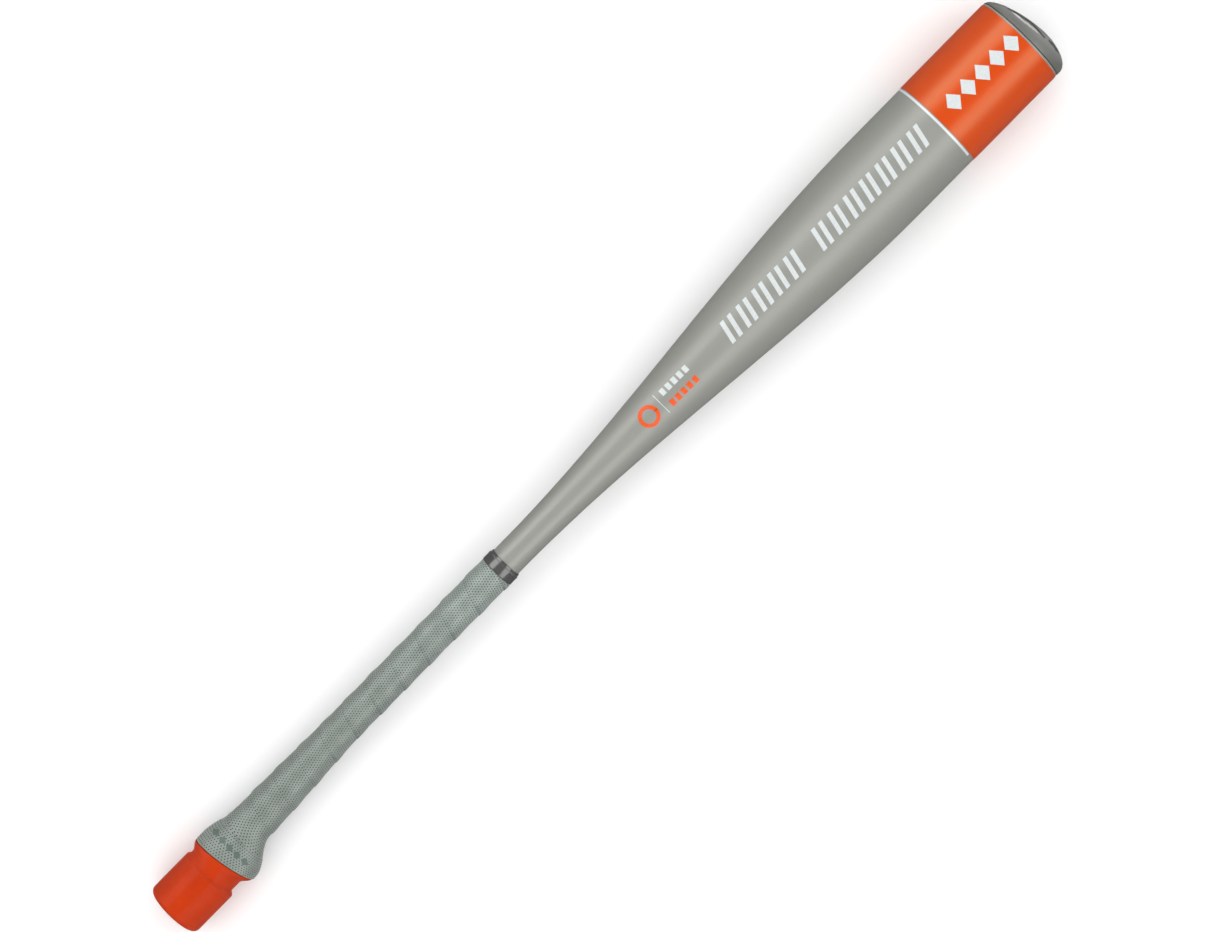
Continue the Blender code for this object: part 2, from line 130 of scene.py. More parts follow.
def makeStudio():
    scene = bpy.context.scene
    scene.view_settings.view_transform = "Standard"

    cameraData = bpy.data.cameras.new("studioCamera")
    cameraData.lens = studio["lens"]
    cameraData.sensor_width = 36.0
    cameraData.clip_start = 0.05
    cameraData.clip_end = 40.0
    camera = bpy.data.objects.new("studioCamera", cameraData)
    scene.collection.objects.link(camera)
    lean = Matrix.Rotation(studio["lean"], 4, "Y")
    roll = Matrix.Rotation(studio["roll"], 4, "Z")
    back = lean @ Vector((0, 0, studio["distance"]))
    camera.matrix_world = Matrix.Translation(Vector(studio["aim"]) + back) @ lean @ roll
    scene.camera = camera

    for angle, power in studio["strips"]:
        strip = bpy.data.lights.new("softStrip", "AREA")
        strip.shape = "RECTANGLE"
        strip.size = studio["stripLength"]
        strip.size_y = studio["stripWidth"]
        strip.energy = power
        lamp = bpy.data.objects.new("softStrip", strip)
        swing = Matrix.Rotation(-math.radians(angle), 4, "X")
        lamp.matrix_world = swing @ Matrix.Translation((0, 0, studio["stripDistance"]))
        lamp.visible_diffuse = False  # the strips draw the highlights, the overhead fill does the rest
        scene.collection.objects.link(lamp)

    overhead = bpy.data.lights.new("overheadFill", "AREA")
    overhead.shape = "SQUARE"
    overhead.size = studio["overheadSize"]
    overhead.energy = studio["overheadPower"]
    overhead.cycles.use_multiple_importance_sampling = False  # or some of it shows in glossy coats
    fill = bpy.data.objects.new("overheadFill", overhead)
    fill.location = (0, 0, studio["overheadHeight"])
    fill.visible_glossy = False
    scene.collection.objects.link(fill)

    world = bpy.data.worlds.new("paleStudio")
    world.use_nodes = True
    scene.world = world
    nodes, links = world.node_tree.nodes, world.node_tree.links
    nodes.clear()
    direction = nodes.new("ShaderNodeTexCoord")
    direction.label = "direction of the light"
    height = nodes.new("ShaderNodeSeparateXYZ")
    height.label = "height above the horizon"
    fade = nodes.new("ShaderNodeMapRange")
    fade.label = "brighter overhead, softer at the rim"
    fade.inputs["From Min"].default_value = 0.0
    fade.inputs["From Max"].default_value = studio["skyFull"]
    fade.inputs["To Min"].default_value = studio["skyRim"]
    fade.inputs["To Max"].default_value = studio["skyTop"]
    endwise = nodes.new("ShaderNodeMapRange")
    endwise.label = "towards the barrel's end"
    endwise.interpolation_type = "SMOOTHSTEP"
    endwise.inputs["From Min"].default_value = studio["cardSides"][0]
    endwise.inputs["From Max"].default_value = studio["cardSides"][1]
    lowDown = nodes.new("ShaderNodeMapRange")
    lowDown.label = "low down"
    lowDown.interpolation_type = "SMOOTHSTEP"
    lowDown.inputs["From Min"].default_value = studio["cardTop"]
    lowDown.inputs["From Max"].default_value = 0.0
    lowDown.inputs["To Max"].default_value = studio["endCard"]
    card = nodes.new("ShaderNodeMath")
    card.label = "pale card beyond the barrel"
    card.operation = "MULTIPLY"
    total = nodes.new("ShaderNodeMath")
    total.label = "surround and card together"
    total.operation = "ADD"
    sky = nodes.new("ShaderNodeBackground")
    sky.label = "soft white surround"
    sky.inputs["Color"].default_value = (1.0, 1.0, 1.0, 1)
    output = nodes.new("ShaderNodeOutputWorld")
    output.label = "light from all round"
    links.new(direction.outputs["Generated"], height.inputs["Vector"])
    links.new(height.outputs["Z"], fade.inputs["Value"])
    links.new(height.outputs["X"], endwise.inputs["Value"])
    links.new(height.outputs["Z"], lowDown.inputs["Value"])
    links.new(endwise.outputs["Result"], card.inputs[0])
    links.new(lowDown.outputs["Result"], card.inputs[1])
    links.new(fade.outputs["Result"], total.inputs[0])
    links.new(card.outputs["Value"], total.inputs[1])
    links.new(total.outputs["Value"], sky.inputs["Strength"])
    links.new(sky.outputs["Background"], output.inputs["Surface"])
    for column, node in enumerate((direction, height, fade, card, total, sky, output)):
        node.location = (column * 220, 0)
    endwise.location = (440, -300)
    lowDown.location = (440, -600)

    floorMesh = bpy.data.meshes.new("studioFloor")
    shape = bmesh.new()
    bmesh.ops.create_grid(shape, x_segments=4, y_segments=4, size=studio["floorSize"] / 2)
    shape.to_mesh(floorMesh)
    shape.free()
    floorMesh.materials.append(makeFloorPaper())
    floor = bpy.data.objects.new("studioFloor", floorMesh)
    floor.visible_glossy = False  # keeps the bat's sides from turning pale
    scene.collection.objects.link(floor)

    # A pale wall all round is seen by the camera alone, and neither lights nor shades the bat.
    wallMesh = bpy.data.meshes.new("studioBackdrop")
    shape = bmesh.new()
    bmesh.ops.create_cone(shape, cap_ends=False, segments=96, radius1=studio["backdropRadius"],
                          radius2=studio["backdropRadius"], depth=studio["backdropHeight"])
    bmesh.ops.reverse_faces(shape, faces=shape.faces)
    shape.to_mesh(wallMesh)
    shape.free()
    wallMesh.materials.append(makeBackdropPaper())
    wall = bpy.data.objects.new("studioBackdrop", wallMesh)
    wall.visible_diffuse = False
    wall.visible_glossy = False
    wall.visible_transmission = False
    wall.visible_shadow = False
    scene.collection.objects.link(wall)


def makeBackdropPaper():
    # A wall with its own pale glow, which fades a little towards its top.
    material = bpy.data.materials.new("backdropPaper")
    material.use_nodes = True
    nodes, links = material.node_tree.nodes, material.node_tree.links
    nodes.clear()
    place = nodes.new("ShaderNodeTexCoord")
    place.label = "place on the wall"
    height = nodes.new("ShaderNodeSeparateXYZ")
    height.label = "height on the wall"
    fade = nodes.new("ShaderNodeMapRange")
    fade.label = "paler near the floor"
    fade.interpolation_type = "SMOOTHSTEP"
    fade.inputs["From Min"].default_value = 0.0
    fade.inputs["From Max"].default_value = studio["wallFade"]
    fade.inputs["To Min"].default_value = studio["wallGlow"][0]
    fade.inputs["To Max"].default_value = studio["wallGlow"][1]
    glow = nodes.new("ShaderNodeEmission")
    glow.label = "even light on the paper"
    glow.inputs["Color"].default_value = (1.0, 1.0, 1.0, 1)
    output = nodes.new("ShaderNodeOutputMaterial")
    output.label = "finished wall"
    links.new(place.outputs["Object"], height.inputs["Vector"])
    links.new(height.outputs["Z"], fade.inputs["Value"])
    links.new(fade.outputs["Result"], glow.inputs["Strength"])
    links.new(glow.outputs["Emission"], output.inputs["Surface"])
    for column, node in enumerate((place, height, fade, glow, output)):
        node.location = (column * 220, 0)
    return material


def makeFloorPaper():
    material = bpy.data.materials.new("palePaper")
    material.use_nodes = True
    nodes, links = material.node_tree.nodes, material.node_tree.links
    nodes.clear()
    place = nodes.new("ShaderNodeTexCoord")
    place.label = "place on the floor"
    fibre = nodes.new("ShaderNodeTexNoise")
    fibre.label = "faint mottling of the paper"
    fibre.inputs["Scale"].default_value = 9.0
    shade = nodes.new("ShaderNodeValToRGB")
    shade.label = "two near whites"
    shade.color_ramp.elements[0].color = (0.90, 0.90, 0.90, 1)
    shade.color_ramp.elements[1].color = (0.93, 0.93, 0.93, 1)
    paper = nodes.new("ShaderNodeBsdfPrincipled")
    paper.label = "matte pale paper"
    paper.inputs["Roughness"].default_value = 0.9
    paper.inputs["Specular IOR Level"].default_value = 0.1
    output = nodes.new("ShaderNodeOutputMaterial")
    output.label = "finished floor"
    links.new(place.outputs["Object"], fibre.inputs["Vector"])
    links.new(fibre.outputs["Fac"], shade.inputs["Fac"])
    links.new(shade.outputs["Color"], paper.inputs["Base Color"])
    links.new(paper.outputs["BSDF"], output.inputs["Surface"])
    for column, node in enumerate((place, fibre, shade, paper, output)):
        node.location = (column * 220, 0)
    return material


makeStudio()
print("studio: camera, two soft strips, overhead fill, pale surround, floor and backdrop")

# Materials.


def makePaint(name, low, high, roughness, coat, flakeScale, peelDepth, metallic=0.0, specular=0.5,
              glint=(1.0, 1.0, 1.0)):
    # A sprayed or printed coat: fine flake in the colour, uneven gloss, and orange peel.
    material = bpy.data.materials.new(name)
    material.use_nodes = True
    nodes, links = material.node_tree.nodes, material.node_tree.links
    nodes.clear()
    place = nodes.new("ShaderNodeTexCoord")
    place.label = "place on the bat"
    colourFrame = nodes.new("NodeFrame")
    colourFrame.label = "colour of the coat"
    flake = nodes.new("ShaderNodeTexNoise")
    flake.label = "fine flake in the coat"
    flake.inputs["Scale"].default_value = flakeScale
    flake.inputs["Detail"].default_value = 3.0
    flake.inputs["Roughness"].default_value = 0.7
    flakeTint = nodes.new("ShaderNodeValToRGB")
    flakeTint.label = "dark and light flake"
    flakeTint.color_ramp.elements[0].position = 0.30
    flakeTint.color_ramp.elements[0].color = (*low, 1)
    flakeTint.color_ramp.elements[1].position = 0.72
    flakeTint.color_ramp.elements[1].color = (*high, 1)
    glossFrame = nodes.new("NodeFrame")
    glossFrame.label = "uneven gloss"
    handling = nodes.new("ShaderNodeTexNoise")
    handling.label = "wide patches rubbed by handling"
    handling.inputs["Scale"].default_value = 14.0
    handling.inputs["Detail"].default_value = 5.0
    gloss = nodes.new("ShaderNodeMapRange")
    gloss.label = "roughness between the patches"
    gloss.inputs["From Min"].default_value = 0.3
    gloss.inputs["From Max"].default_value = 0.7
    gloss.inputs["To Min"].default_value = roughness - 0.03
    gloss.inputs["To Max"].default_value = roughness + 0.05
    peelFrame = nodes.new("NodeFrame")
    peelFrame.label = "orange peel"
    peel = nodes.new("ShaderNodeTexNoise")
    peel.label = "low waves in the dried coat"
    peel.inputs["Scale"].default_value = 420.0
    peel.inputs["Detail"].default_value = 1.0
    peelBump = nodes.new("ShaderNodeBump")
    peelBump.label = "depth of the peel"
    peelBump.inputs["Strength"].default_value = 0.25
    peelBump.inputs["Distance"].default_value = peelDepth
    coatShader = nodes.new("ShaderNodeBsdfPrincipled")
    coatShader.label = "satin coat"
    coatShader.inputs["Metallic"].default_value = metallic
    coatShader.inputs["Specular IOR Level"].default_value = specular
    coatShader.inputs["Specular Tint"].default_value = (*glint, 1)
    coatShader.inputs["Coat Weight"].default_value = coat
    coatShader.inputs["Coat Roughness"].default_value = 0.22
    output = nodes.new("ShaderNodeOutputMaterial")
    output.label = "finished coat"
    links.new(place.outputs["Object"], flake.inputs["Vector"])
    links.new(place.outputs["Object"], handling.inputs["Vector"])
    links.new(place.outputs["Object"], peel.inputs["Vector"])
    links.new(flake.outputs["Fac"], flakeTint.inputs["Fac"])
    links.new(handling.outputs["Fac"], gloss.inputs["Value"])
    links.new(peel.outputs["Fac"], peelBump.inputs["Height"])
    links.new(flakeTint.outputs["Color"], coatShader.inputs["Base Color"])
    links.new(gloss.outputs["Result"], coatShader.inputs["Roughness"])
    links.new(peelBump.outputs["Normal"], coatShader.inputs["Normal"])
    links.new(coatShader.outputs["BSDF"], output.inputs["Surface"])
    rows = ((colourFrame, (flake, flakeTint)), (glossFrame, (handling, gloss)), (peelFrame, (peel, peelBump)))
    for row, (frameNode, group) in enumerate(rows):
        for column, node in enumerate(group):
            node.parent = frameNode
            node.location = (240 + column * 240, -row * 320)
    place.location = (0, -320)
    coatShader.location = (760, -200)
    output.location = (1060, -200)
    return material


def makeMoulding(name, low, high, roughness, grainScale, grainDepth, specular=0.5):
    # Moulded rubber or plastic: a cloudy base colour under a fine eroded mould grain.
    material = bpy.data.materials.new(name)
    material.use_nodes = True
    nodes, links = material.node_tree.nodes, material.node_tree.links
    nodes.clear()
    place = nodes.new("ShaderNodeTexCoord")
    place.label = "place on the piece"
    cloudFrame = nodes.new("NodeFrame")
    cloudFrame.label = "cloudy colour"
    cloud = nodes.new("ShaderNodeTexNoise")
    cloud.label = "slow clouds in the compound"
    cloud.inputs["Scale"].default_value = 55.0
    cloud.inputs["Detail"].default_value = 6.0
    tint = nodes.new("ShaderNodeValToRGB")
    tint.label = "dull and fresh colour"
    tint.color_ramp.elements[0].position = 0.32
    tint.color_ramp.elements[0].color = (*low, 1)
    tint.color_ramp.elements[1].position = 0.68
    tint.color_ramp.elements[1].color = (*high, 1)
    grainFrame = nodes.new("NodeFrame")
    grainFrame.label = "mould grain"
    grain = nodes.new("ShaderNodeTexNoise")
    grain.label = "eroded mould grain"
    grain.inputs["Scale"].default_value = grainScale
    grain.inputs["Detail"].default_value = 4.0
    grain.inputs["Roughness"].default_value = 0.65
    grainBump = nodes.new("ShaderNodeBump")
    grainBump.label = "height of the grain"
    grainBump.inputs["Strength"].default_value = 0.5
    grainBump.inputs["Distance"].default_value = grainDepth
    wear = nodes.new("ShaderNodeMapRange")
    wear.label = "duller in the grain's hollows"
    wear.inputs["From Min"].default_value = 0.3
    wear.inputs["From Max"].default_value = 0.7
    wear.inputs["To Min"].default_value = min(roughness + 0.10, 1.0)
    wear.inputs["To Max"].default_value = roughness - 0.05
    body = nodes.new("ShaderNodeBsdfPrincipled")
    body.label = "moulded surface"
    body.inputs["Specular IOR Level"].default_value = specular
    output = nodes.new("ShaderNodeOutputMaterial")
    output.label = "finished moulding"
    links.new(place.outputs["Object"], cloud.inputs["Vector"])
    links.new(place.outputs["Object"], grain.inputs["Vector"])
    links.new(cloud.outputs["Fac"], tint.inputs["Fac"])
    links.new(grain.outputs["Fac"], grainBump.inputs["Height"])
    links.new(grain.outputs["Fac"], wear.inputs["Value"])
    links.new(tint.outputs["Color"], body.inputs["Base Color"])
    links.new(wear.outputs["Result"], body.inputs["Roughness"])
    links.new(grainBump.outputs["Normal"], body.inputs["Normal"])
    links.new(body.outputs["BSDF"], output.inputs["Surface"])
    rows = ((cloudFrame, (cloud, tint)), (grainFrame, (grain, grainBump, wear)))
    for row, (frameNode, group) in enumerate(rows):
        for column, node in enumerate(group):
            node.parent = frameNode
            node.location = (240 + column * 240, -row * 340)
    place.location = (0, -200)
    body.location = (1000, -160)
    output.location = (1300, -160)
    return material


def makeInk(name, low, high, roughness):
    # Screen-printed ink: slightly patchy cover, with the same patches felt as a faint texture.
    material = bpy.data.materials.new(name)
    material.use_nodes = True
    nodes, links = material.node_tree.nodes, material.node_tree.links
    nodes.clear()
    place = nodes.new("ShaderNodeTexCoord")
    place.label = "place on the print"
    coverFrame = nodes.new("NodeFrame")
    coverFrame.label = "ink cover and texture"
    cover = nodes.new("ShaderNodeTexNoise")
    cover.label = "patchy ink cover"
    cover.inputs["Scale"].default_value = 700.0
    cover.inputs["Detail"].default_value = 4.0
    tint = nodes.new("ShaderNodeValToRGB")
    tint.label = "thin and full ink"
    tint.color_ramp.elements[0].position = 0.35
    tint.color_ramp.elements[0].color = (*low, 1)
    tint.color_ramp.elements[1].position = 0.60
    tint.color_ramp.elements[1].color = (*high, 1)
    screen = nodes.new("ShaderNodeBump")
    screen.label = "texture left by the screen"
    screen.inputs["Strength"].default_value = 0.15
    screen.inputs["Distance"].default_value = 0.00002
    ink = nodes.new("ShaderNodeBsdfPrincipled")
    ink.label = "printed ink"
    ink.inputs["Roughness"].default_value = roughness
    output = nodes.new("ShaderNodeOutputMaterial")
    output.label = "finished print"
    links.new(place.outputs["Object"], cover.inputs["Vector"])
    links.new(cover.outputs["Fac"], tint.inputs["Fac"])
    links.new(cover.outputs["Fac"], screen.inputs["Height"])
    links.new(tint.outputs["Color"], ink.inputs["Base Color"])
    links.new(screen.outputs["Normal"], ink.inputs["Normal"])
    links.new(ink.outputs["BSDF"], output.inputs["Surface"])
    for column, node in enumerate((place, cover, tint, screen, ink, output)):
        node.location = (column * 230, 0)
    for node in (cover, tint, screen):
        node.parent = coverFrame
    return material


def makeTapeSkin():
    # Grip tape: soft polymer skin with fine creases, patchy from hands and darker towards the knob.
    material = bpy.data.materials.new("gripTapeSkin")
    material.use_nodes = True
    nodes, links = material.node_tree.nodes, material.node_tree.links
    nodes.clear()
    place = nodes.new("ShaderNodeTexCoord")
    place.label = "place on the handle"
    colourFrame = nodes.new("NodeFrame")
    colourFrame.label = "grey green skin"
    patches = nodes.new("ShaderNodeTexNoise")
    patches.label = "patches rubbed by hands"
    patches.inputs["Scale"].default_value = 95.0
    patches.inputs["Detail"].default_value = 6.0
    patches.inputs["Roughness"].default_value = 0.6
    patchTint = nodes.new("ShaderNodeValToRGB")
    patchTint.label = "fresh and rubbed skin"
    patchTint.color_ramp.elements[0].position = 0.34
    patchTint.color_ramp.elements[0].color = (0.212, 0.252, 0.228, 1)
    patchTint.color_ramp.elements[1].position = 0.70
    patchTint.color_ramp.elements[1].color = (0.288, 0.332, 0.306, 1)
    # The skin is made darker towards the knob end, over the lower part of the handle.
    knobEndFrame = nodes.new("NodeFrame")
    knobEndFrame.label = "darker towards the knob end"
    along = nodes.new("ShaderNodeSeparateXYZ")
    along.label = "place along the bat"
    knobEndShare = nodes.new("ShaderNodeMapRange")
    knobEndShare.label = "from the collar to the knob"
    knobEndShare.interpolation_type = "SMOOTHSTEP"
    knobEndShare.inputs["From Min"].default_value = -0.10
    knobEndShare.inputs["From Max"].default_value = -0.24
    knobEndShare.inputs["To Max"].default_value = 0.85
    knobEndDarkening = nodes.new("ShaderNodeMix")
    knobEndDarkening.label = "skin darkened towards the knob end"
    knobEndDarkening.data_type = "RGBA"
    knobEndDarkening.blend_type = "MULTIPLY"
    knobEndDarkening.inputs[7].default_value = (0.80, 0.79, 0.77, 1)
    creaseFrame = nodes.new("NodeFrame")
    creaseFrame.label = "fine creases"
    crease = nodes.new("ShaderNodeTexVoronoi")
    crease.label = "leathery cells"
    crease.feature = "DISTANCE_TO_EDGE"
    crease.inputs["Scale"].default_value = 2200.0
    pores = nodes.new("ShaderNodeTexNoise")
    pores.label = "pores between the cells"
    pores.inputs["Scale"].default_value = 3200.0
    pores.inputs["Detail"].default_value = 2.0
    relief = nodes.new("ShaderNodeMath")
    relief.label = "cells and pores together"
    relief.operation = "ADD"
    creaseBump = nodes.new("ShaderNodeBump")
    creaseBump.label = "depth of the creases"
    creaseBump.inputs["Strength"].default_value = 0.45
    creaseBump.inputs["Distance"].default_value = 0.00006
    skin = nodes.new("ShaderNodeBsdfPrincipled")
    skin.label = "soft matte skin"
    skin.inputs["Roughness"].default_value = 0.42
    skin.inputs["Specular IOR Level"].default_value = 0.75
    skin.inputs["Sheen Weight"].default_value = 0.22
    skin.inputs["Sheen Roughness"].default_value = 0.5
    output = nodes.new("ShaderNodeOutputMaterial")
    output.label = "finished tape"
    links.new(place.outputs["Object"], patches.inputs["Vector"])
    links.new(place.outputs["Object"], along.inputs["Vector"])
    links.new(place.outputs["Object"], crease.inputs["Vector"])
    links.new(place.outputs["Object"], pores.inputs["Vector"])
    links.new(patches.outputs["Fac"], patchTint.inputs["Fac"])
    links.new(crease.outputs["Distance"], relief.inputs[0])
    links.new(pores.outputs["Fac"], relief.inputs[1])
    links.new(relief.outputs["Value"], creaseBump.inputs["Height"])
    links.new(along.outputs["X"], knobEndShare.inputs["Value"])
    links.new(knobEndShare.outputs["Result"], knobEndDarkening.inputs[0])
    links.new(patchTint.outputs["Color"], knobEndDarkening.inputs[6])
    links.new(knobEndDarkening.outputs[2], skin.inputs["Base Color"])
    links.new(creaseBump.outputs["Normal"], skin.inputs["Normal"])
    links.new(skin.outputs["BSDF"], output.inputs["Surface"])
    rows = ((colourFrame, (patches, patchTint)), (knobEndFrame, (along, knobEndShare, knobEndDarkening)),
            (creaseFrame, (crease, pores, relief, creaseBump)))
    for row, (frameNode, group) in enumerate(rows):
        for column, node in enumerate(group):
            node.parent = frameNode
            node.location = (240 + column * 230, -row * 340)
    place.location = (0, -200)
    skin.location = (1200, -160)
    output.location = (1500, -160)
    return material


def makeMetal(name, low, high, roughness, brushScale):
    # Turned metal: tool marks drawn out round the bat's axis, which vary its colour and roughness.
    material = bpy.data.materials.new(name)
    material.use_nodes = True
    nodes, links = material.node_tree.nodes, material.node_tree.links
    nodes.clear()
    place = nodes.new("ShaderNodeTexCoord")
    place.label = "place on the piece"
    marksFrame = nodes.new("NodeFrame")
    marksFrame.label = "tool marks and polish"
    stretch = nodes.new("ShaderNodeMapping")
    stretch.label = "draw the streaks out round the axis"
    stretch.inputs["Scale"].default_value = (brushScale, brushScale * 0.06, brushScale * 0.06)
    streaks = nodes.new("ShaderNodeTexNoise")
    streaks.label = "tool marks"
    streaks.inputs["Scale"].default_value = 1.0
    streaks.inputs["Detail"].default_value = 6.0
    tint = nodes.new("ShaderNodeValToRGB")
    tint.label = "dull and bright metal"
    tint.color_ramp.elements[0].position = 0.35
    tint.color_ramp.elements[0].color = (*low, 1)
    tint.color_ramp.elements[1].position = 0.65
    tint.color_ramp.elements[1].color = (*high, 1)
    polish = nodes.new("ShaderNodeMapRange")
    polish.label = "roughness of the marks"
    polish.inputs["To Min"].default_value = roughness - 0.08
    polish.inputs["To Max"].default_value = roughness + 0.10
    marks = nodes.new("ShaderNodeBump")
    marks.label = "depth of the marks"
    marks.inputs["Strength"].default_value = 0.2
    marks.inputs["Distance"].default_value = 0.00003
    metal = nodes.new("ShaderNodeBsdfPrincipled")
    metal.label = "bare metal"
    metal.inputs["Metallic"].default_value = 1.0
    output = nodes.new("ShaderNodeOutputMaterial")
    output.label = "finished metal"
    links.new(place.outputs["Object"], stretch.inputs["Vector"])
    links.new(stretch.outputs["Vector"], streaks.inputs["Vector"])
    links.new(streaks.outputs["Fac"], tint.inputs["Fac"])
    links.new(streaks.outputs["Fac"], polish.inputs["Value"])
    links.new(streaks.outputs["Fac"], marks.inputs["Height"])
    links.new(tint.outputs["Color"], metal.inputs["Base Color"])
    links.new(polish.outputs["Result"], metal.inputs["Roughness"])
    links.new(marks.outputs["Normal"], metal.inputs["Normal"])
    links.new(metal.outputs["BSDF"], output.inputs["Surface"])
    for column, node in enumerate((place, stretch, streaks, tint, polish, marks, metal, output)):
        node.location = (column * 230, 0)
    for node in (stretch, streaks, tint, polish, marks):
        node.parent = marksFrame
    return material


def makeFoam():
    # Open-cell damping foam: an off-white body, darker in each cell's middle as painted shade in the open
    # cells.
    material = bpy.data.materials.new("damperFoam")
    material.use_nodes = True
    nodes, links = material.node_tree.nodes, material.node_tree.links
    nodes.clear()
    place = nodes.new("ShaderNodeTexCoord")
    place.label = "place in the foam"
    cellFrame = nodes.new("NodeFrame")
    cellFrame.label = "open cells"
    cells = nodes.new("ShaderNodeTexVoronoi")
    cells.label = "distance from a cell's middle"
    cells.inputs["Scale"].default_value = 1300.0
    # The dark end of this ramp is painted shade at the bottom of each cell.
    tint = nodes.new("ShaderNodeValToRGB")
    tint.label = "cell mouths and walls"
    tint.color_ramp.elements[0].position = 0.12
    tint.color_ramp.elements[0].color = (0.30, 0.30, 0.27, 1)
    tint.color_ramp.elements[1].position = 0.45
    tint.color_ramp.elements[1].color = (0.60, 0.60, 0.55, 1)
    depth = nodes.new("ShaderNodeBump")
    depth.label = "depth of the cells"
    depth.inputs["Strength"].default_value = 0.8
    depth.inputs["Distance"].default_value = 0.0003
    foam = nodes.new("ShaderNodeBsdfPrincipled")
    foam.label = "dull foam"
    foam.inputs["Roughness"].default_value = 0.95
    output = nodes.new("ShaderNodeOutputMaterial")
    output.label = "finished foam"
    links.new(place.outputs["Object"], cells.inputs["Vector"])
    links.new(cells.outputs["Distance"], tint.inputs["Fac"])
    links.new(cells.outputs["Distance"], depth.inputs["Height"])
    links.new(tint.outputs["Color"], foam.inputs["Base Color"])
    links.new(depth.outputs["Normal"], foam.inputs["Normal"])
    links.new(foam.outputs["BSDF"], output.inputs["Surface"])
    for column, node in enumerate((place, cells, tint, depth, foam, output)):
        node.location = (column * 230, 0)
    for node in (cells, tint, depth):
        node.parent = cellFrame
    return material


barrelPaint = makePaint("barrelGreyPaint", (0.272, 0.278, 0.252), (0.322, 0.328, 0.300),
                        0.45, 0.12, 2600.0, 0.00003, 0.2)
bandFilm = makePaint("bandOrangeFilm", (0.58, 0.048, 0.0008), (0.64, 0.060, 0.0016),
                     0.32, 0.0, 1500.0, 0.00002, 0.0, 1.0, (0.42, 1.0, 0.62))
silverFilm = makePaint("pinstripeSilver", (0.62, 0.66, 0.68), (0.74, 0.78, 0.80),
                       0.36, 0.2, 2200.0, 0.00002, 0.1)
collarGloss = makePaint("collarGloss", (0.062, 0.062, 0.060), (0.074, 0.074, 0.071),
                        0.16, 1.0, 900.0, 0.00001, 0.0, 1.0)
# Glossy grey inlay, made pale as a painted highlight so that the windows show bright crescents.
capInlayPaintedHighlight = makePaint("capInlayGlossWithPaintedHighlight", (0.50, 0.505, 0.50), (0.58, 0.585, 0.58),
                     0.10, 1.0, 500.0, 0.00001)
whiteInk = makeInk("whiteInk", (0.56, 0.595, 0.60), (0.61, 0.645, 0.65), 0.45)
orangeInk = makeInk("orangeInk", (0.68, 0.080, 0.010), (0.74, 0.095, 0.014), 0.45)
knobInk = makeInk("knobInk", (0.080, 0.115, 0.100), (0.105, 0.142, 0.125), 0.55)
coverRubber = makeMoulding("coverRubber", (0.44, 0.029, 0.0012), (0.50, 0.036, 0.0024),
                           0.46, 900.0, 0.00003, 0.2)
capMatte = makeMoulding("capMatte", (0.120, 0.122, 0.112), (0.155, 0.157, 0.145), 0.40, 1800.0, 0.00003)
handleMoulding = makeMoulding("handleMoulding", (0.016, 0.016, 0.017), (0.030, 0.030, 0.031),
                              0.5, 1200.0, 0.00008)
tapeSkin = makeTapeSkin()
# Dark finish for the faces inside the perforations and for the strip's cut edges: painted shade.
tapePitShade = makeMoulding("gripTapePitShade", (0.024, 0.034, 0.030), (0.042, 0.056, 0.050), 0.85, 2000.0, 0.00003)
steelMetal = makeMetal("plainSteel", (0.36, 0.36, 0.37), (0.48, 0.48, 0.49), 0.38, 2600.0)
alloyMetal = makeMetal("bareAlloy", (0.55, 0.55, 0.56), (0.68, 0.68, 0.69), 0.42, 2200.0)
damperFoam = makeFoam()
print("materials: paint, film, ink, tape, rubber, mouldings, metals and foam")

# Shared mesh steps.


def meshFrom(name, points, faces):
    mesh = bpy.data.meshes.new(name)
    mesh.from_pydata(points, [], faces)
    mesh.update()
    return mesh


def loftMesh(name, rings, closed=True):
    # Joins rings of equal count. Closed joins the last ring to the first, else both ends stay open.
    count = len(rings[0])
    points = [point for ring in rings for point in ring]
    faces = []
    spans = len(rings) if closed else len(rings) - 1
    for row in range(spans):
        following = (row + 1) % len(rings)
        for step in range(count):
            beside = (step + 1) % count
            faces.append((row * count + step, row * count + beside,
                          following * count + beside, following * count + step))
    return meshFrom(name, points, faces)


def ringPoints(station, left, right, half, count):
    # left and right are the reach to +Y and -Y. Turns start at -Y and go over the top.
    centre, width = (left - right) / 2, (left + right) / 2
    return [(station, centre - width * math.cos(turn), half * math.sin(turn)) for turn in fullTurn(count)]


def faceOut(mesh, mergeDistance=0.00001):
    shape = bmesh.new()
    shape.from_mesh(mesh)
    bmesh.ops.remove_doubles(shape, verts=shape.verts, dist=mergeDistance)
    bmesh.ops.recalc_face_normals(shape, faces=shape.faces)
    shape.to_mesh(mesh)
    shape.free()


def closeEnds(mesh, sides):
    # Fills the open ends of a loft, up to this many sides, and turns all faces outwards.
    shape = bmesh.new()
    shape.from_mesh(mesh)
    bmesh.ops.holes_fill(shape, edges=shape.edges, sides=sides)
    bmesh.ops.recalc_face_normals(shape, faces=shape.faces)
    shape.to_mesh(mesh)
    shape.free()
    return mesh


def bake(obj):
    # Turns the object's modifiers into its mesh.
    graph = bpy.context.evaluated_depsgraph_get()
    mesh = bpy.data.meshes.new_from_object(obj.evaluated_get(graph))
    obj.modifiers.clear()
    obj.data = mesh
    return mesh


def helper(name, mesh):
    obj = bpy.data.objects.new(name, mesh)
    bpy.context.scene.collection.objects.link(obj)
    return obj


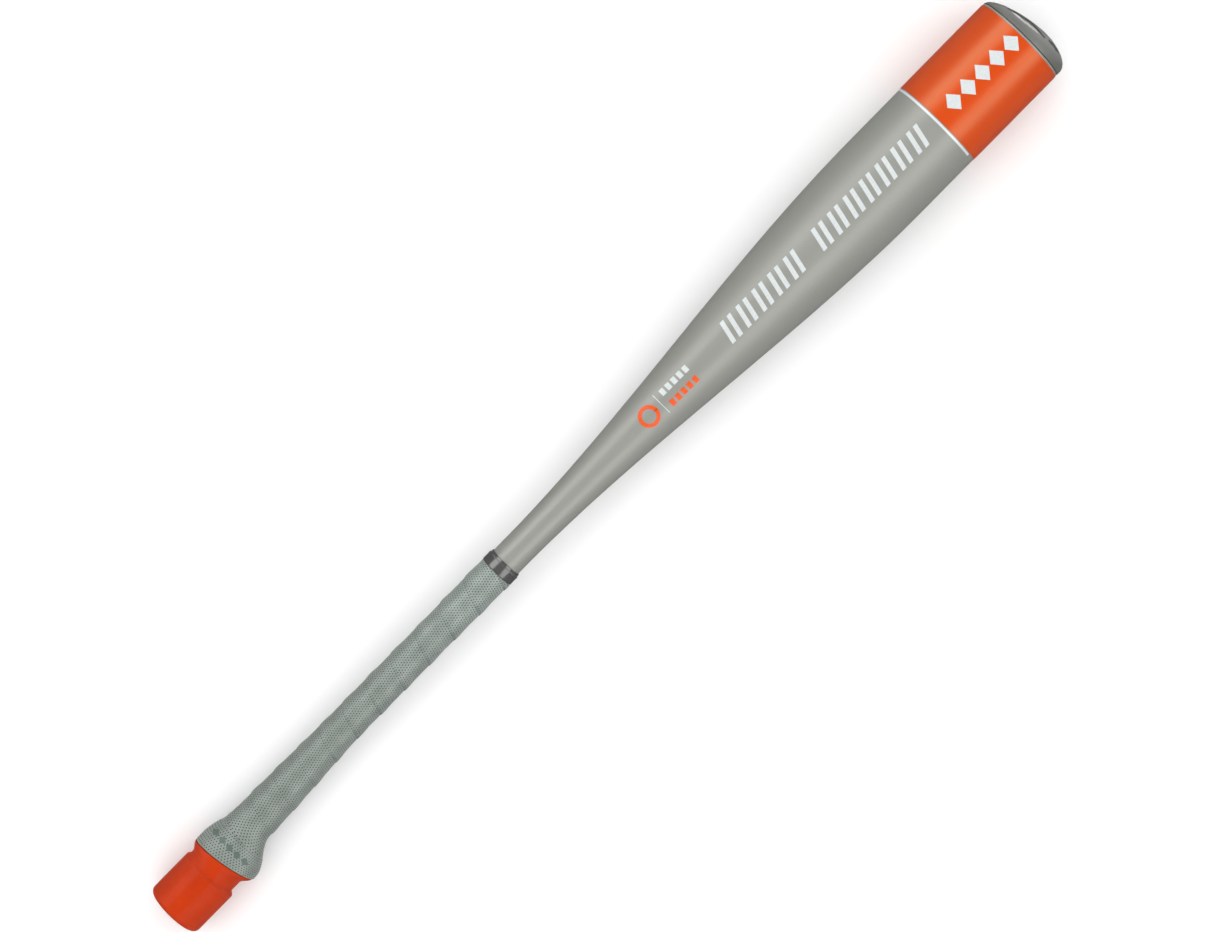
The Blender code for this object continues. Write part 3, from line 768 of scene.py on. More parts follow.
def addPiece(name, mesh, nodes=(), sharpAngle=38):
    mesh.shade_smooth()
    mesh.set_sharp_from_angle(angle=math.radians(sharpAngle))
    mesh.transform(batPlace)
    piece = helper(name, mesh)
    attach(piece, "root")
    if nodes:
        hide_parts(*nodes)
    return piece


def newTree(name, sockets):
    tree = bpy.data.node_groups.new(name, "GeometryNodeTree")
    tree.interface.new_socket("Geometry", in_out="INPUT", socket_type="NodeSocketGeometry")
    for label, kind in sockets:
        tree.interface.new_socket(label, in_out="INPUT", socket_type="NodeSocket" + kind)
    tree.interface.new_socket("Geometry", in_out="OUTPUT", socket_type="NodeSocketGeometry")
    return tree


def grow(name, tree, values):
    # Runs a tree on a fresh object and gives the finished mesh. The object itself is removed.
    obj = helper(name, bpy.data.meshes.new(name))
    modifier = obj.modifiers.new(name, "NODES")
    modifier.node_group = tree
    for item in tree.interface.items_tree:
        if item.in_out == "INPUT" and item.name in values:
            modifier[item.identifier] = values[item.name]
    mesh = bake(obj)
    bpy.data.objects.remove(obj)
    return mesh


# Barrel tube: one rule for its radius, turned in Geometry Nodes.

barrel = {"start": 0.0546, "rows": 232, "sides": 136, "edgeRound": 0.0009}


def barrelTree():
    tree = newTree("barrelRule", (
        ("Start", "Float"), ("End", "Float"), ("Grip Radius", "Float"), ("Neck Radius", "Float"),
        ("Barrel Radius", "Float"), ("Taper Start", "Float"), ("Taper End", "Float"),
        ("Rows", "Int"), ("Sides", "Int"), ("Paint", "Material")))
    nodes, links = tree.nodes, tree.links
    given = nodes.new("NodeGroupInput")
    sheet = nodes.new("GeometryNodeMeshGrid")
    sheet.label = "one row for each station, one column for each side"
    sheet.inputs["Size X"].default_value = 1.0
    sheet.inputs["Size Y"].default_value = 1.0
    spot = nodes.new("GeometryNodeInputPosition")
    parts = nodes.new("ShaderNodeSeparateXYZ")
    station = nodes.new("ShaderNodeMapRange")
    station.label = "station along the bat"
    station.inputs["From Min"].default_value = -0.5
    station.inputs["From Max"].default_value = 0.5
    turn = nodes.new("ShaderNodeMapRange")
    turn.label = "turn about the axis"
    turn.inputs["From Min"].default_value = -0.5
    turn.inputs["From Max"].default_value = 0.5
    turn.inputs["To Max"].default_value = 2 * math.pi
    handle = nodes.new("ShaderNodeMapRange")
    handle.label = "slight swell up to the neck"
    handle.interpolation_type = "SMOOTHSTEP"
    handle.inputs["From Min"].default_value = batSizes["neckFrom"]
    handle.inputs["From Max"].default_value = batSizes["neckTo"]
    taper = nodes.new("ShaderNodeMapRange")
    taper.label = "long taper"
    taper.interpolation_type = "SMOOTHSTEP"
    growth = nodes.new("ShaderNodeMath")
    growth.label = "barrel less neck"
    growth.operation = "SUBTRACT"
    added = nodes.new("ShaderNodeMath")
    added.label = "what the taper adds"
    added.operation = "MULTIPLY"
    radius = nodes.new("ShaderNodeMath")
    radius.label = "radius at the station"
    radius.operation = "ADD"
    cosine = nodes.new("ShaderNodeMath")
    cosine.operation = "COSINE"
    sine = nodes.new("ShaderNodeMath")
    sine.operation = "SINE"
    sideways = nodes.new("ShaderNodeMath")
    sideways.operation = "MULTIPLY"
    upward = nodes.new("ShaderNodeMath")
    upward.operation = "MULTIPLY"
    point = nodes.new("ShaderNodeCombineXYZ")
    point.label = "point of the tube"
    bend = nodes.new("GeometryNodeSetPosition")
    bend.label = "roll the sheet up"
    seam = nodes.new("GeometryNodeMergeByDistance")
    seam.label = "close the seam"
    seam.inputs["Distance"].default_value = 0.00001
    real = nodes.new("GeometryNodeRealizeInstances")
    paint = nodes.new("GeometryNodeSetMaterial")
    result = nodes.new("NodeGroupOutput")
    links.new(given.outputs["Rows"], sheet.inputs["Vertices X"])
    links.new(given.outputs["Sides"], sheet.inputs["Vertices Y"])
    links.new(spot.outputs["Position"], parts.inputs["Vector"])
    links.new(parts.outputs["X"], station.inputs["Value"])
    links.new(parts.outputs["Y"], turn.inputs["Value"])
    links.new(given.outputs["Start"], station.inputs["To Min"])
    links.new(given.outputs["End"], station.inputs["To Max"])
    links.new(station.outputs["Result"], handle.inputs["Value"])
    links.new(given.outputs["Grip Radius"], handle.inputs["To Min"])
    links.new(given.outputs["Neck Radius"], handle.inputs["To Max"])
    links.new(station.outputs["Result"], taper.inputs["Value"])
    links.new(given.outputs["Taper Start"], taper.inputs["From Min"])
    links.new(given.outputs["Taper End"], taper.inputs["From Max"])
    links.new(given.outputs["Barrel Radius"], growth.inputs[0])
    links.new(given.outputs["Neck Radius"], growth.inputs[1])
    links.new(taper.outputs["Result"], added.inputs[0])
    links.new(growth.outputs["Value"], added.inputs[1])
    links.new(handle.outputs["Result"], radius.inputs[0])
    links.new(added.outputs["Value"], radius.inputs[1])
    links.new(turn.outputs["Result"], cosine.inputs[0])
    links.new(turn.outputs["Result"], sine.inputs[0])
    links.new(radius.outputs["Value"], sideways.inputs[0])
    links.new(cosine.outputs["Value"], sideways.inputs[1])
    links.new(radius.outputs["Value"], upward.inputs[0])
    links.new(sine.outputs["Value"], upward.inputs[1])
    links.new(station.outputs["Result"], point.inputs["X"])
    links.new(sideways.outputs["Value"], point.inputs["Y"])
    links.new(upward.outputs["Value"], point.inputs["Z"])
    links.new(sheet.outputs["Mesh"], bend.inputs["Geometry"])
    links.new(point.outputs["Vector"], bend.inputs["Position"])
    links.new(bend.outputs["Geometry"], seam.inputs["Geometry"])
    links.new(seam.outputs["Geometry"], real.inputs["Geometry"])
    links.new(real.outputs["Geometry"], paint.inputs["Geometry"])
    links.new(given.outputs["Paint"], paint.inputs["Material"])
    links.new(paint.outputs["Geometry"], result.inputs["Geometry"])
    for column, node in enumerate(nodes):
        node.location = (column % 9 * 200, -(column // 9) * 300)
    return tree


def makeBarrel():
    mesh = grow("barrelSheet", barrelTree(), {
        "Start": barrel["start"],
        "End": batSizes["barrelEnd"],
        "Grip Radius": batSizes["gripTubeRadius"],
        "Neck Radius": batSizes["neckRadius"],
        "Barrel Radius": batSizes["barrelRadius"],
        "Taper Start": batSizes["taperStart"],
        "Taper End": batSizes["taperEnd"],
        "Rows": barrel["rows"],
        "Sides": barrel["sides"] + 1,
        "Paint": barrelPaint,
    })
    faceOut(mesh)
    tube = helper("barrelWall", mesh)
    wall = tube.modifiers.new("wall", "SOLIDIFY")
    wall.thickness = batSizes["tubeWall"]
    wall.offset = -1
    roundRim = tube.modifiers.new("roundRim", "BEVEL")
    roundRim.width = barrel["edgeRound"]
    roundRim.segments = 3
    roundRim.limit_method = "ANGLE"
    roundRim.angle_limit = math.radians(60)
    mesh = bake(tube)
    bpy.data.objects.remove(tube)
    addPiece("barrelTube", mesh, ("barrel_shell",))


makeBarrel()
print("barrel: tube turned from its rule")

# Band film and the silver pinstripe beside it.

band = {"start": 0.7195, "end": 0.7943, "radius": 0.03334, "under": 0.03306, "sides": 180, "spans": 16,
        "roundness": 0.00010}
pinstripe = {"start": 0.7172, "end": 0.7188, "under": 0.00001, "lift": 0.00008,
             "gapFrom": -24, "gapTo": 31, "steps": 150}  # the gap in degrees from -Y


def makeBand():
    roundness = band["roundness"]
    profile = [
        (band["start"], band["under"]),
        (band["start"], band["radius"] - roundness),
        (band["start"] + roundness, band["radius"]),
    ]
    for step in range(1, band["spans"]):
        profile.append((mix(band["start"], band["end"], step / band["spans"]), band["radius"]))
    profile += [
        (band["end"] - roundness, band["radius"]),
        (band["end"], band["radius"] - roundness),
        (band["end"], band["under"]),
    ]
    rings = [ringPoints(station, radius, radius, radius, band["sides"]) for station, radius in profile]
    mesh = loftMesh("endBand", rings)
    mesh.materials.append(bandFilm)
    faceOut(mesh)
    addPiece("endBand", mesh, ("end_band_wrap",))


def makePinstripe():
    # A ribbon of foil that stops short on the heel side, where its two ends leave a gap.
    low = batSizes["barrelRadius"] + pinstripe["under"]
    high = batSizes["barrelRadius"] + pinstripe["lift"]
    rows = []
    for step in range(pinstripe["steps"] + 1):
        turn = math.radians(mix(pinstripe["gapTo"], 360 + pinstripe["gapFrom"], step / pinstripe["steps"]))
        corners = [(pinstripe["start"], low), (pinstripe["start"], high),
                   (pinstripe["end"], high), (pinstripe["end"], low)]
        rows.append([(station, -radius * math.cos(turn), radius * math.sin(turn))
                     for station, radius in corners])
    mesh = closeEnds(loftMesh("pinstripe", rows, closed=False), 4)
    mesh.materials.append(silverFilm)
    addPiece("pinstripe", mesh)


makeBand()
makePinstripe()
print("band: orange film and silver pinstripe")

# Grip tape: a perforated strip wound round the oval handle, and a wrap of the same skin on the knob.

tape = {
    "cellLength": 0.0019,  # along the strip
    "cellWidth": 0.00172,  # across the strip
    "columnsPerTurn": 38,
    "rows": 13,
    "columns": 573,
    "holeRadius": 0.00045,
    "dimple": 0.00007,
    "pitDepth": 0.00034,
    "edgeStation": 0.3054,  # an exposed edge on the heel side, next to the collar
    "upperPitch": 0.0233,
    "lowerPitch": 0.0212,
    "pitchChange": 5.0,  # turns below the edge station
    "high": 0.00024,
    "low": -0.00022,
    "climb": (0.12, 0.52),  # shares of the width between which the strip sinks from high to low
    "lowerEdge": (0.00016, 0.035),  # how far this edge is pressed down, and over what share
    "upperEdge": (0.00026, 0.035),
    "wrinkle": 0.00007,
    "wrinkleScale": (160, 3),  # along the bat and across the strip
    "tuck": (-0.0006, 0.0012, -0.00062),  # from and to, by the knob wrap's top, and how deep
    "firstTurns": 12.3,  # turns from the strip's first cell to the edge next to the collar
    "start": 0.0605,
    "thickness": 0.0011,
    "liningSides": 72,
    "liningRows": (0.004, 12),  # step and count from the start, then these stations
    "liningStations": (0.125, 0.16, 0.20, 0.25),
}
knobWrap = {
    "columns": 62,
    "rows": 10,
    "top": 0.0668,
    "proud": 0.00025,
    "rim": 0.0009,
    "rimRise": 0.055,  # share of the wrap's height that the rounded rim takes
    "rimSteps": 4,
    "topEdge": (0.00025, 0.06),  # how far the top edge is pressed down, and over what share
    "thickness": 0.00085,
}
# Reach of the tape from the bat's axis: far is +Y, heel is -Y, and side is up and down.
# A flare is how much it adds, where it is full and where it ends.
gripShape = {
    "reach": 0.01195,
    "neckSwell": (0.00045, 0.240),
    "farFlares": ((0.00115, 0.080, 0.170), (0.0042, 0.052, 0.078)),
    "heelFlares": ((0.0040, 0.080, 0.180), (0.01185, 0.055, 0.081)),
    "sideFlares": ((0.0009, 0.080, 0.170), (0.0048, 0.052, 0.076)),
}


def gripReach(station):
    swell, swellStart = gripShape["neckSwell"]
    straight = gripShape["reach"] + swell * ease(station, swellStart, batSizes["collarStart"])
    reaches = []
    for flares in (gripShape["farFlares"], gripShape["heelFlares"], gripShape["sideFlares"]):
        reach = straight
        for amount, start, end in flares:
            reach += amount * (1 - ease(station, start, end))
        reaches.append(reach)
    return reaches


def handlePoint(station, turn, height):
    left, right, half = gripReach(station)
    centre, width = (left - right) / 2, (left + right) / 2 + height
    return (station, centre - width * math.cos(turn), (half + height) * math.sin(turn))


def perforatedCell():
    # One brick of the skin with its hole: outer corners, a dimpled rim, and the pit's floor.
    length, width = tape["cellLength"] / 2, tape["cellWidth"] / 2
    corners = [(-length, -width), (0, -width), (length, -width),
               (length, width), (0, width), (-length, width)]
    points = [(x, y, 0) for x, y in corners]
    rim, pit = (tape["holeRadius"], -tape["dimple"]), (tape["holeRadius"] * 0.8, -tape["pitDepth"])
    for radius, depth in (rim, pit):
        for x, y in corners:
            turn = math.atan2(y, x)
            points.append((radius * math.cos(turn), radius * math.sin(turn), depth))
    faces = []
    for inner in (0, 6):
        for step in range(6):
            beside = (step + 1) % 6
            faces.append((inner + step, inner + beside, inner + 6 + beside, inner + 6 + step))
    faces.append(tuple(range(12, 18)))
    cell = meshFrom("perforatedCell", points, faces)
    cell.materials.append(tapeSkin)
    return helper("perforatedCell", cell)


def perforationTree():
    tree = newTree("perforatedSkin", (
        ("Cell", "Object"), ("Cell Length", "Float"), ("Cell Width", "Float"), ("Columns", "Int"),
        ("Rows", "Int"), ("Pit Level", "Float"), ("Skin", "Material"), ("Pit", "Material")))
    nodes, links = tree.nodes, tree.links
    given = nodes.new("NodeGroupInput")
    row = nodes.new("GeometryNodeMeshLine")
    row.label = "one place for each cell of a row"
    row.mode = "OFFSET"
    rowStep = nodes.new("ShaderNodeCombineXYZ")
    column = nodes.new("GeometryNodeMeshLine")
    column.label = "one place for each row"
    column.mode = "OFFSET"
    columnStep = nodes.new("ShaderNodeCombineXYZ")
    order = nodes.new("GeometryNodeInputIndex")
    odd = nodes.new("ShaderNodeMath")
    odd.label = "every second row"
    odd.operation = "MODULO"
    odd.inputs[1].default_value = 2.0
    halfCell = nodes.new("ShaderNodeMath")
    halfCell.label = "half a cell"
    halfCell.operation = "MULTIPLY"
    halfCell.inputs[1].default_value = 0.5
    shiftAmount = nodes.new("ShaderNodeMath")
    shiftAmount.operation = "MULTIPLY"
    shift = nodes.new("ShaderNodeCombineXYZ")
    stagger = nodes.new("GeometryNodeSetPosition")
    stagger.label = "stagger the rows"
    cell = nodes.new("GeometryNodeObjectInfo")
    cells = nodes.new("GeometryNodeInstanceOnPoints")
    cells.label = "cells along a row"
    rows = nodes.new("GeometryNodeInstanceOnPoints")
    rows.label = "rows across the strip"
    real = nodes.new("GeometryNodeRealizeInstances")
    weld = nodes.new("GeometryNodeMergeByDistance")
    weld.label = "weld the cells into one skin"
    weld.inputs["Distance"].default_value = 0.00002
    skin = nodes.new("GeometryNodeSetMaterial")
    spot = nodes.new("GeometryNodeInputPosition")
    parts = nodes.new("ShaderNodeSeparateXYZ")
    # Faces sunk below the pit level take the dark pit finish: painted shade inside the holes.
    deep = nodes.new("ShaderNodeMath")
    deep.label = "faces down in a hole"
    deep.operation = "LESS_THAN"
    pit = nodes.new("GeometryNodeSetMaterial")
    result = nodes.new("NodeGroupOutput")
    links.new(given.outputs["Cell Length"], rowStep.inputs["X"])
    links.new(given.outputs["Cell Width"], columnStep.inputs["Y"])
    links.new(given.outputs["Columns"], row.inputs["Count"])
    links.new(rowStep.outputs["Vector"], row.inputs["Offset"])
    links.new(given.outputs["Rows"], column.inputs["Count"])
    links.new(columnStep.outputs["Vector"], column.inputs["Offset"])
    links.new(order.outputs["Index"], odd.inputs[0])
    links.new(given.outputs["Cell Length"], halfCell.inputs[0])
    links.new(odd.outputs["Value"], shiftAmount.inputs[0])
    links.new(halfCell.outputs["Value"], shiftAmount.inputs[1])
    links.new(shiftAmount.outputs["Value"], shift.inputs["X"])
    links.new(column.outputs["Mesh"], stagger.inputs["Geometry"])
    links.new(shift.outputs["Vector"], stagger.inputs["Offset"])
    links.new(given.outputs["Cell"], cell.inputs["Object"])
    links.new(row.outputs["Mesh"], cells.inputs["Points"])
    links.new(cell.outputs["Geometry"], cells.inputs["Instance"])
    links.new(stagger.outputs["Geometry"], rows.inputs["Points"])
    links.new(cells.outputs["Instances"], rows.inputs["Instance"])
    links.new(rows.outputs["Instances"], real.inputs["Geometry"])
    links.new(real.outputs["Geometry"], weld.inputs["Geometry"])
    links.new(weld.outputs["Geometry"], skin.inputs["Geometry"])
    links.new(given.outputs["Skin"], skin.inputs["Material"])
    links.new(spot.outputs["Position"], parts.inputs["Vector"])
    links.new(parts.outputs["Z"], deep.inputs[0])
    links.new(given.outputs["Pit Level"], deep.inputs[1])
    links.new(skin.outputs["Geometry"], pit.inputs["Geometry"])
    links.new(deep.outputs["Value"], pit.inputs["Selection"])
    links.new(given.outputs["Pit"], pit.inputs["Material"])
    links.new(pit.outputs["Geometry"], result.inputs["Geometry"])
    for place, node in enumerate(nodes):
        node.location = (place % 8 * 210, -(place // 8) * 280)
    return tree


skinTree = perforationTree()
skinCell = perforatedCell()


def perforatedSheet(name, columns, rows):
    # A flat sheet of skin: X along it, Y across it, Z up from it. Its corner is at the origin.
    mesh = grow(name, skinTree, {
        "Cell": skinCell,
        "Cell Length": tape["cellLength"],
        "Cell Width": tape["cellWidth"],
        "Columns": columns,
        "Rows": rows,
        "Pit Level": -tape["dimple"] * 1.05,
        "Skin": tapeSkin,
        "Pit": tapePitShade,
    })
    mesh.transform(Matrix.Translation((0, tape["cellWidth"] / 2, 0)))
    return mesh


def windStation(turns):
    # Station of the exposed edge on the heel side, some turns below the one next to the collar.
    past = turns - tape["pitchChange"]
    eased = (past + math.hypot(past, 0.8)) / 2  # the pitch changes smoothly over about a turn
    closer = (tape["upperPitch"] - tape["lowerPitch"]) * eased
    return tape["edgeStation"] - tape["upperPitch"] * turns + closer


def tapeHeight(across, station):
    # The strip rides up over the turn below it, sinks to the handle, and passes under the knob's wrap.
    height = mix(tape["low"], tape["high"], 1 - ease(across, *tape["climb"]))
    lowerDip, lowerShare = tape["lowerEdge"]
    upperDip, upperShare = tape["upperEdge"]
    height -= lowerDip * (1 - ease(across, 0.0, lowerShare)) + upperDip * ease(across, 1 - upperShare, 1.0)
    alongScale, acrossScale = tape["wrinkleScale"]
    wrinkle = noise.noise(Vector((station * alongScale, across * acrossScale, 1.7))) * tape["wrinkle"]
    tuckStart, tuckEnd, tuckDepth = tape["tuck"]
    tucked = 1 - ease(station, knobWrap["top"] + tuckStart, knobWrap["top"] + tuckEnd)
    return mix(height + wrinkle, tuckDepth, tucked)


def makeTape():
    mesh = perforatedSheet("tapeStrip", tape["columns"], tape["rows"])
    width = tape["rows"] * tape["cellWidth"]
    perTurn = tape["columnsPerTurn"] * tape["cellLength"]
    girth = math.hypot(width, perTurn)
    sine, cosine = width / girth, perTurn / girth
    rise = girth * sine / cosine
    shape = bmesh.new()
    shape.from_mesh(mesh)
    # One turn's upper edge is joined to the next turn's lower edge, a turn further along the strip. These
    # joining faces take the dark pit finish, a painted shadow along the overlapped edge.
    edgeVerts = sorted((vert for vert in shape.verts if vert.is_boundary), key=lambda vert: vert.co.x)
    lower = [vert for vert in edgeVerts if vert.co.y < 0.00001]
    upper = [vert for vert in edgeVerts if vert.co.y > width - 0.00001]
    halfCell = tape["cellLength"] / 2
    ahead = round((upper[0].co.x + perTurn - lower[0].co.x) / halfCell)
    for step in range(min(len(upper), len(lower) - ahead) - 1):
        cutEdge = (upper[step], upper[step + 1], lower[ahead + step + 1], lower[ahead + step])
        shape.faces.new(cutEdge).material_index = 1
    for vert in shape.verts:
        along, across, depth = vert.co
        turn = 2 * math.pi * ((along * cosine - across * sine) / girth - tape["firstTurns"])
        station = windStation(tape["firstTurns"] - (along * sine + across * cosine) / rise)
        vert.co = handlePoint(station, turn, tapeHeight(across / width, station) + depth)
    end = batSizes["collarStart"] - batSizes["fitGap"]
    for plane, facing in ((tape["start"], -1), (end, 1)):
        everything = shape.verts[:] + shape.edges[:] + shape.faces[:]
        bmesh.ops.bisect_plane(shape, geom=everything, dist=0.0000005, plane_co=(plane, 0, 0),
                               plane_no=(facing, 0, 0), clear_outer=True)
    bmesh.ops.remove_doubles(shape, verts=shape.verts, dist=0.000004)
    rims = [edge for edge in shape.edges if edge.is_boundary]
    liningStep, liningCount = tape["liningRows"]
    stations = [tape["start"] + step * liningStep for step in range(liningCount)]
    stations += [*tape["liningStations"], end]
    sides = tape["liningSides"]
    lining = []
    for station in stations:
        reaches = [reach - tape["thickness"] for reach in gripReach(station)]
        lining.append([shape.verts.new(point) for point in ringPoints(station, *reaches, sides)])
    for ring, following in zip(lining, lining[1:]):
        for step in range(sides):
            beside = (step + 1) % sides
            shape.faces.new((ring[step], ring[beside], following[beside], following[step]))
    for ring, plane in ((lining[0], tape["start"]), (lining[-1], end)):
        loop = [edge for edge in rims if abs(edge.verts[0].co.x - plane) < 0.00001]
        loop += [shape.edges.get((ring[step], ring[(step + 1) % sides])) for step in range(sides)]
        bmesh.ops.bridge_loops(shape, edges=loop)
    bmesh.ops.recalc_face_normals(shape, faces=shape.faces)
    print("tape: open edges left", sum(edge.is_boundary for edge in shape.edges), "faces", len(shape.faces))
    shape.to_mesh(mesh)
    shape.free()
    addPiece("gripTape", mesh, ("grip_wrap",), 50)


def knobPlaneStation(turn, height):
    # Where the surface meets the slanted base, closed in on step by step.
    station = batSizes["knobBase"]
    for _ in range(12):
        across = handlePoint(station, turn, height)[1]
        station = batSizes["knobBase"] + batSizes["fitGap"] / 2 - across * math.tan(batSizes["knobSlant"])
    return station


def knobPoint(turn, rise, height):
    # rise runs from 0 at the slanted base to 1 at the wrap's top edge.
    proud = knobWrap["proud"] + height
    base = knobPlaneStation(turn, proud)
    return handlePoint(mix(base, knobWrap["top"], rise), turn, proud)


def makeKnobWrap():
    mesh = perforatedSheet("knobSheet", knobWrap["columns"], knobWrap["rows"])
    width = knobWrap["rows"] * tape["cellWidth"]
    girth = knobWrap["columns"] * tape["cellLength"]
    rimRise = knobWrap["rimRise"]
    edgeDip, edgeShare = knobWrap["topEdge"]
    for vert in mesh.vertices:
        along, across, depth = vert.co
        share = across / width
        softEdge = -edgeDip * (1 - ease(1 - share, 0.0, edgeShare))
        vert.co = knobPoint(2 * math.pi * along / girth, mix(rimRise, 1, share), depth + softEdge)
    turns = fullTurn(knobWrap["columns"] * 2)
    rings = [[knobPoint(turn, rimRise, 0.0) for turn in turns]]
    for step in range(1, knobWrap["rimSteps"] + 1):
        swing = math.pi / 2 * step / knobWrap["rimSteps"]
        rise, height = rimRise * (1 - math.sin(swing)), -knobWrap["rim"] * (1 - math.cos(swing))
        rings.append([knobPoint(turn, rise, height) for turn in turns])
    inside = knobWrap["proud"] + knobWrap["thickness"]
    for rise in (0.0, 0.2, 0.4, 0.6, 0.8, 1.0):
        rings.append([knobPoint(turn, rise, -inside) for turn in turns])
    rings.append([knobPoint(turn, 1.0, -edgeDip) for turn in turns])
    lining = loftMesh("knobLining", rings, closed=False)
    shape = bmesh.new()
    shape.from_mesh(mesh)
    shape.from_mesh(lining)
    bmesh.ops.remove_doubles(shape, verts=shape.verts, dist=0.00003)
    bmesh.ops.recalc_face_normals(shape, faces=shape.faces)
    print("knob wrap: open edges left", sum(edge.is_boundary for edge in shape.edges))
    shape.to_mesh(mesh)
    shape.free()
    addPiece("knobWrap", mesh, ("grip_wrap",), 50)


makeTape()
makeKnobWrap()
bpy.data.objects.remove(skinCell)
print("grip: wound tape and knob wrap")

# Collar: a tight glossy band against the end of the tape, with a low bead before its thinner lip.

collar = {"sides": 144, "radius": 0.0125, "bead": 0.3169, "lipRadius": 0.0120,
          "wander": 0.00030, "dent": 0.00005}  # how far its bead strays, and how uneven its surface is


def makeCollar():
    inner = batSizes["neckRadius"] + batSizes["fitGap"]
    start, end, radius = batSizes["collarStart"], batSizes["collarEnd"], collar["radius"]
    profile = [
        (start, inner), (start, radius - 0.0004), (start + 0.0002, radius - 0.0001), (start + 0.0006, radius),
        (start + 0.0025, radius - 0.00006), (collar["bead"] - 0.0010, radius - 0.00004),
        (collar["bead"] - 0.0004, radius + 0.00004), (collar["bead"], radius + 0.00010),
        (collar["bead"] + 0.0003, radius + 0.00002), (collar["bead"] + 0.0005, collar["lipRadius"] + 0.0002),
        (collar["bead"] + 0.0009, collar["lipRadius"]), (end - 0.0004, collar["lipRadius"] - 0.00008),
        (end - 0.0001, collar["lipRadius"] - 0.0003), (end, inner),
    ]
    rings = []
    for station, reach in profile:
        share = (station - start) / (end - start)
        ring = []
        for turn in fullTurn(collar["sides"]):
            spot = Vector((math.cos(turn), math.sin(turn), 0.4))
            wander = collar["wander"] * noise.noise(spot * 1.6) * share * (1 - 0.35 * share)
            dent = collar["dent"] * noise.noise(spot * 4 + Vector((0, 0, station * 300)))
            depth = reach + (dent if reach > inner else 0)
            ring.append((min(station + wander, end), -depth * math.cos(turn), depth * math.sin(turn)))
        rings.append(ring)
    mesh = loftMesh("gripCollar", rings)
    mesh.materials.append(collarGloss)
    faceOut(mesh)
    addPiece("gripCollar", mesh, ("grip_collar",), 60)


makeCollar()
print("collar: glossy band at the top of the tape")

# Counterweight cover: a rubber cup with a round shoulder, a waist and a flange that follows the knob.

cover = {
    "radius": 0.02045,
    "offset": -0.00525,
    "buttRound": 0.004,
    "buttSteps": 9,
    "sides": 144,
    "waist": (0.0342, 0.0373),  # stations between which the body draws in to the neck
    "waistReach": (0.0137, 0.0229, 0.0183),  # to +Y, to -Y, and up and down
    # For the same three: what the flange adds, and the stations between which it grows.
    "flanges": ((0.0036, 0.0385, 0.0452), (0.0045, 0.0450, 0.0522), (-0.0006, 0.0400, 0.0480)),
    "rows": ((0.0040, 0.0048, 7), (0.0342, 0.0001, 35), (0.0378, 0.00075, 22)),  # station, step, count
    "top": 0.0545,  # past the slanted cut
    "cavity": 0.0173,
    "neckBore": 0.0155,
    "neckOffset": -0.0046,
    "ledge": 0.0324,
    "floor": 0.0033,
}


def coverReach(station):
    # Reach to +Y, to -Y, and up and down.
    radius, offset = cover["radius"], cover["offset"]
    waist = ease(station, *cover["waist"])
    reaches = []
    bodies = (radius + offset, radius - offset, radius)
    for body, neck, (amount, start, end) in zip(bodies, cover["waistReach"], cover["flanges"]):
        reaches.append(mix(body, neck, waist) + amount * ease(station, start, end))
    return reaches


def makeCover():
    sides = cover["sides"]
    rings = []
    for step in range(cover["buttSteps"]):
        swing = math.pi / 2 * step / cover["buttSteps"]
        reach = cover["radius"] - cover["buttRound"] * (1 - math.sin(swing))
        station = cover["buttRound"] * (1 - math.cos(swing))
        rings.append(ringPoints(station, reach + cover["offset"], reach - cover["offset"], reach, sides))
    stations = [first + step * pitch for first, pitch, count in cover["rows"] for step in range(count)]
    rings += [ringPoints(station, *coverReach(station), sides) for station in stations]
    for station, reach, offset in ((cover["top"], cover["neckBore"], cover["neckOffset"]),
                                   (cover["ledge"], cover["neckBore"], cover["neckOffset"]),
                                   (cover["ledge"], cover["cavity"], cover["offset"]),
                                   (cover["floor"], cover["cavity"], cover["offset"])):
        rings.append(ringPoints(station, reach + offset, reach - offset, reach, sides))
    mesh = loftMesh("counterweightCover", rings, closed=False)
    shape = bmesh.new()
    shape.from_mesh(mesh)
    slant = Vector((math.cos(batSizes["knobSlant"]), math.sin(batSizes["knobSlant"]), 0))
    edge = Vector((batSizes["knobBase"], 0, 0)) - slant * batSizes["fitGap"] / 2
    cut = bmesh.ops.bisect_plane(shape, geom=shape.verts[:] + shape.edges[:] + shape.faces[:],
                                 plane_co=edge, plane_no=slant, clear_outer=True)
    rim = [item for item in cut["geom_cut"] if isinstance(item, bmesh.types.BMEdge)]
    bmesh.ops.bridge_loops(shape, edges=rim)
    bmesh.ops.holes_fill(shape, edges=shape.edges, sides=sides)
    bmesh.ops.recalc_face_normals(shape, faces=shape.faces)
    print("cover: open edges left", sum(edge.is_boundary for edge in shape.edges))
    shape.to_mesh(mesh)
    shape.free()
    mesh.materials.append(coverRubber)
    addPiece("counterweightCover", mesh, ("counterweight_cover",), 32)


makeCover()
print("counterweight: rubber cover")

# End cap: an off-centre matte dome with lens windows over a glossy inlay.

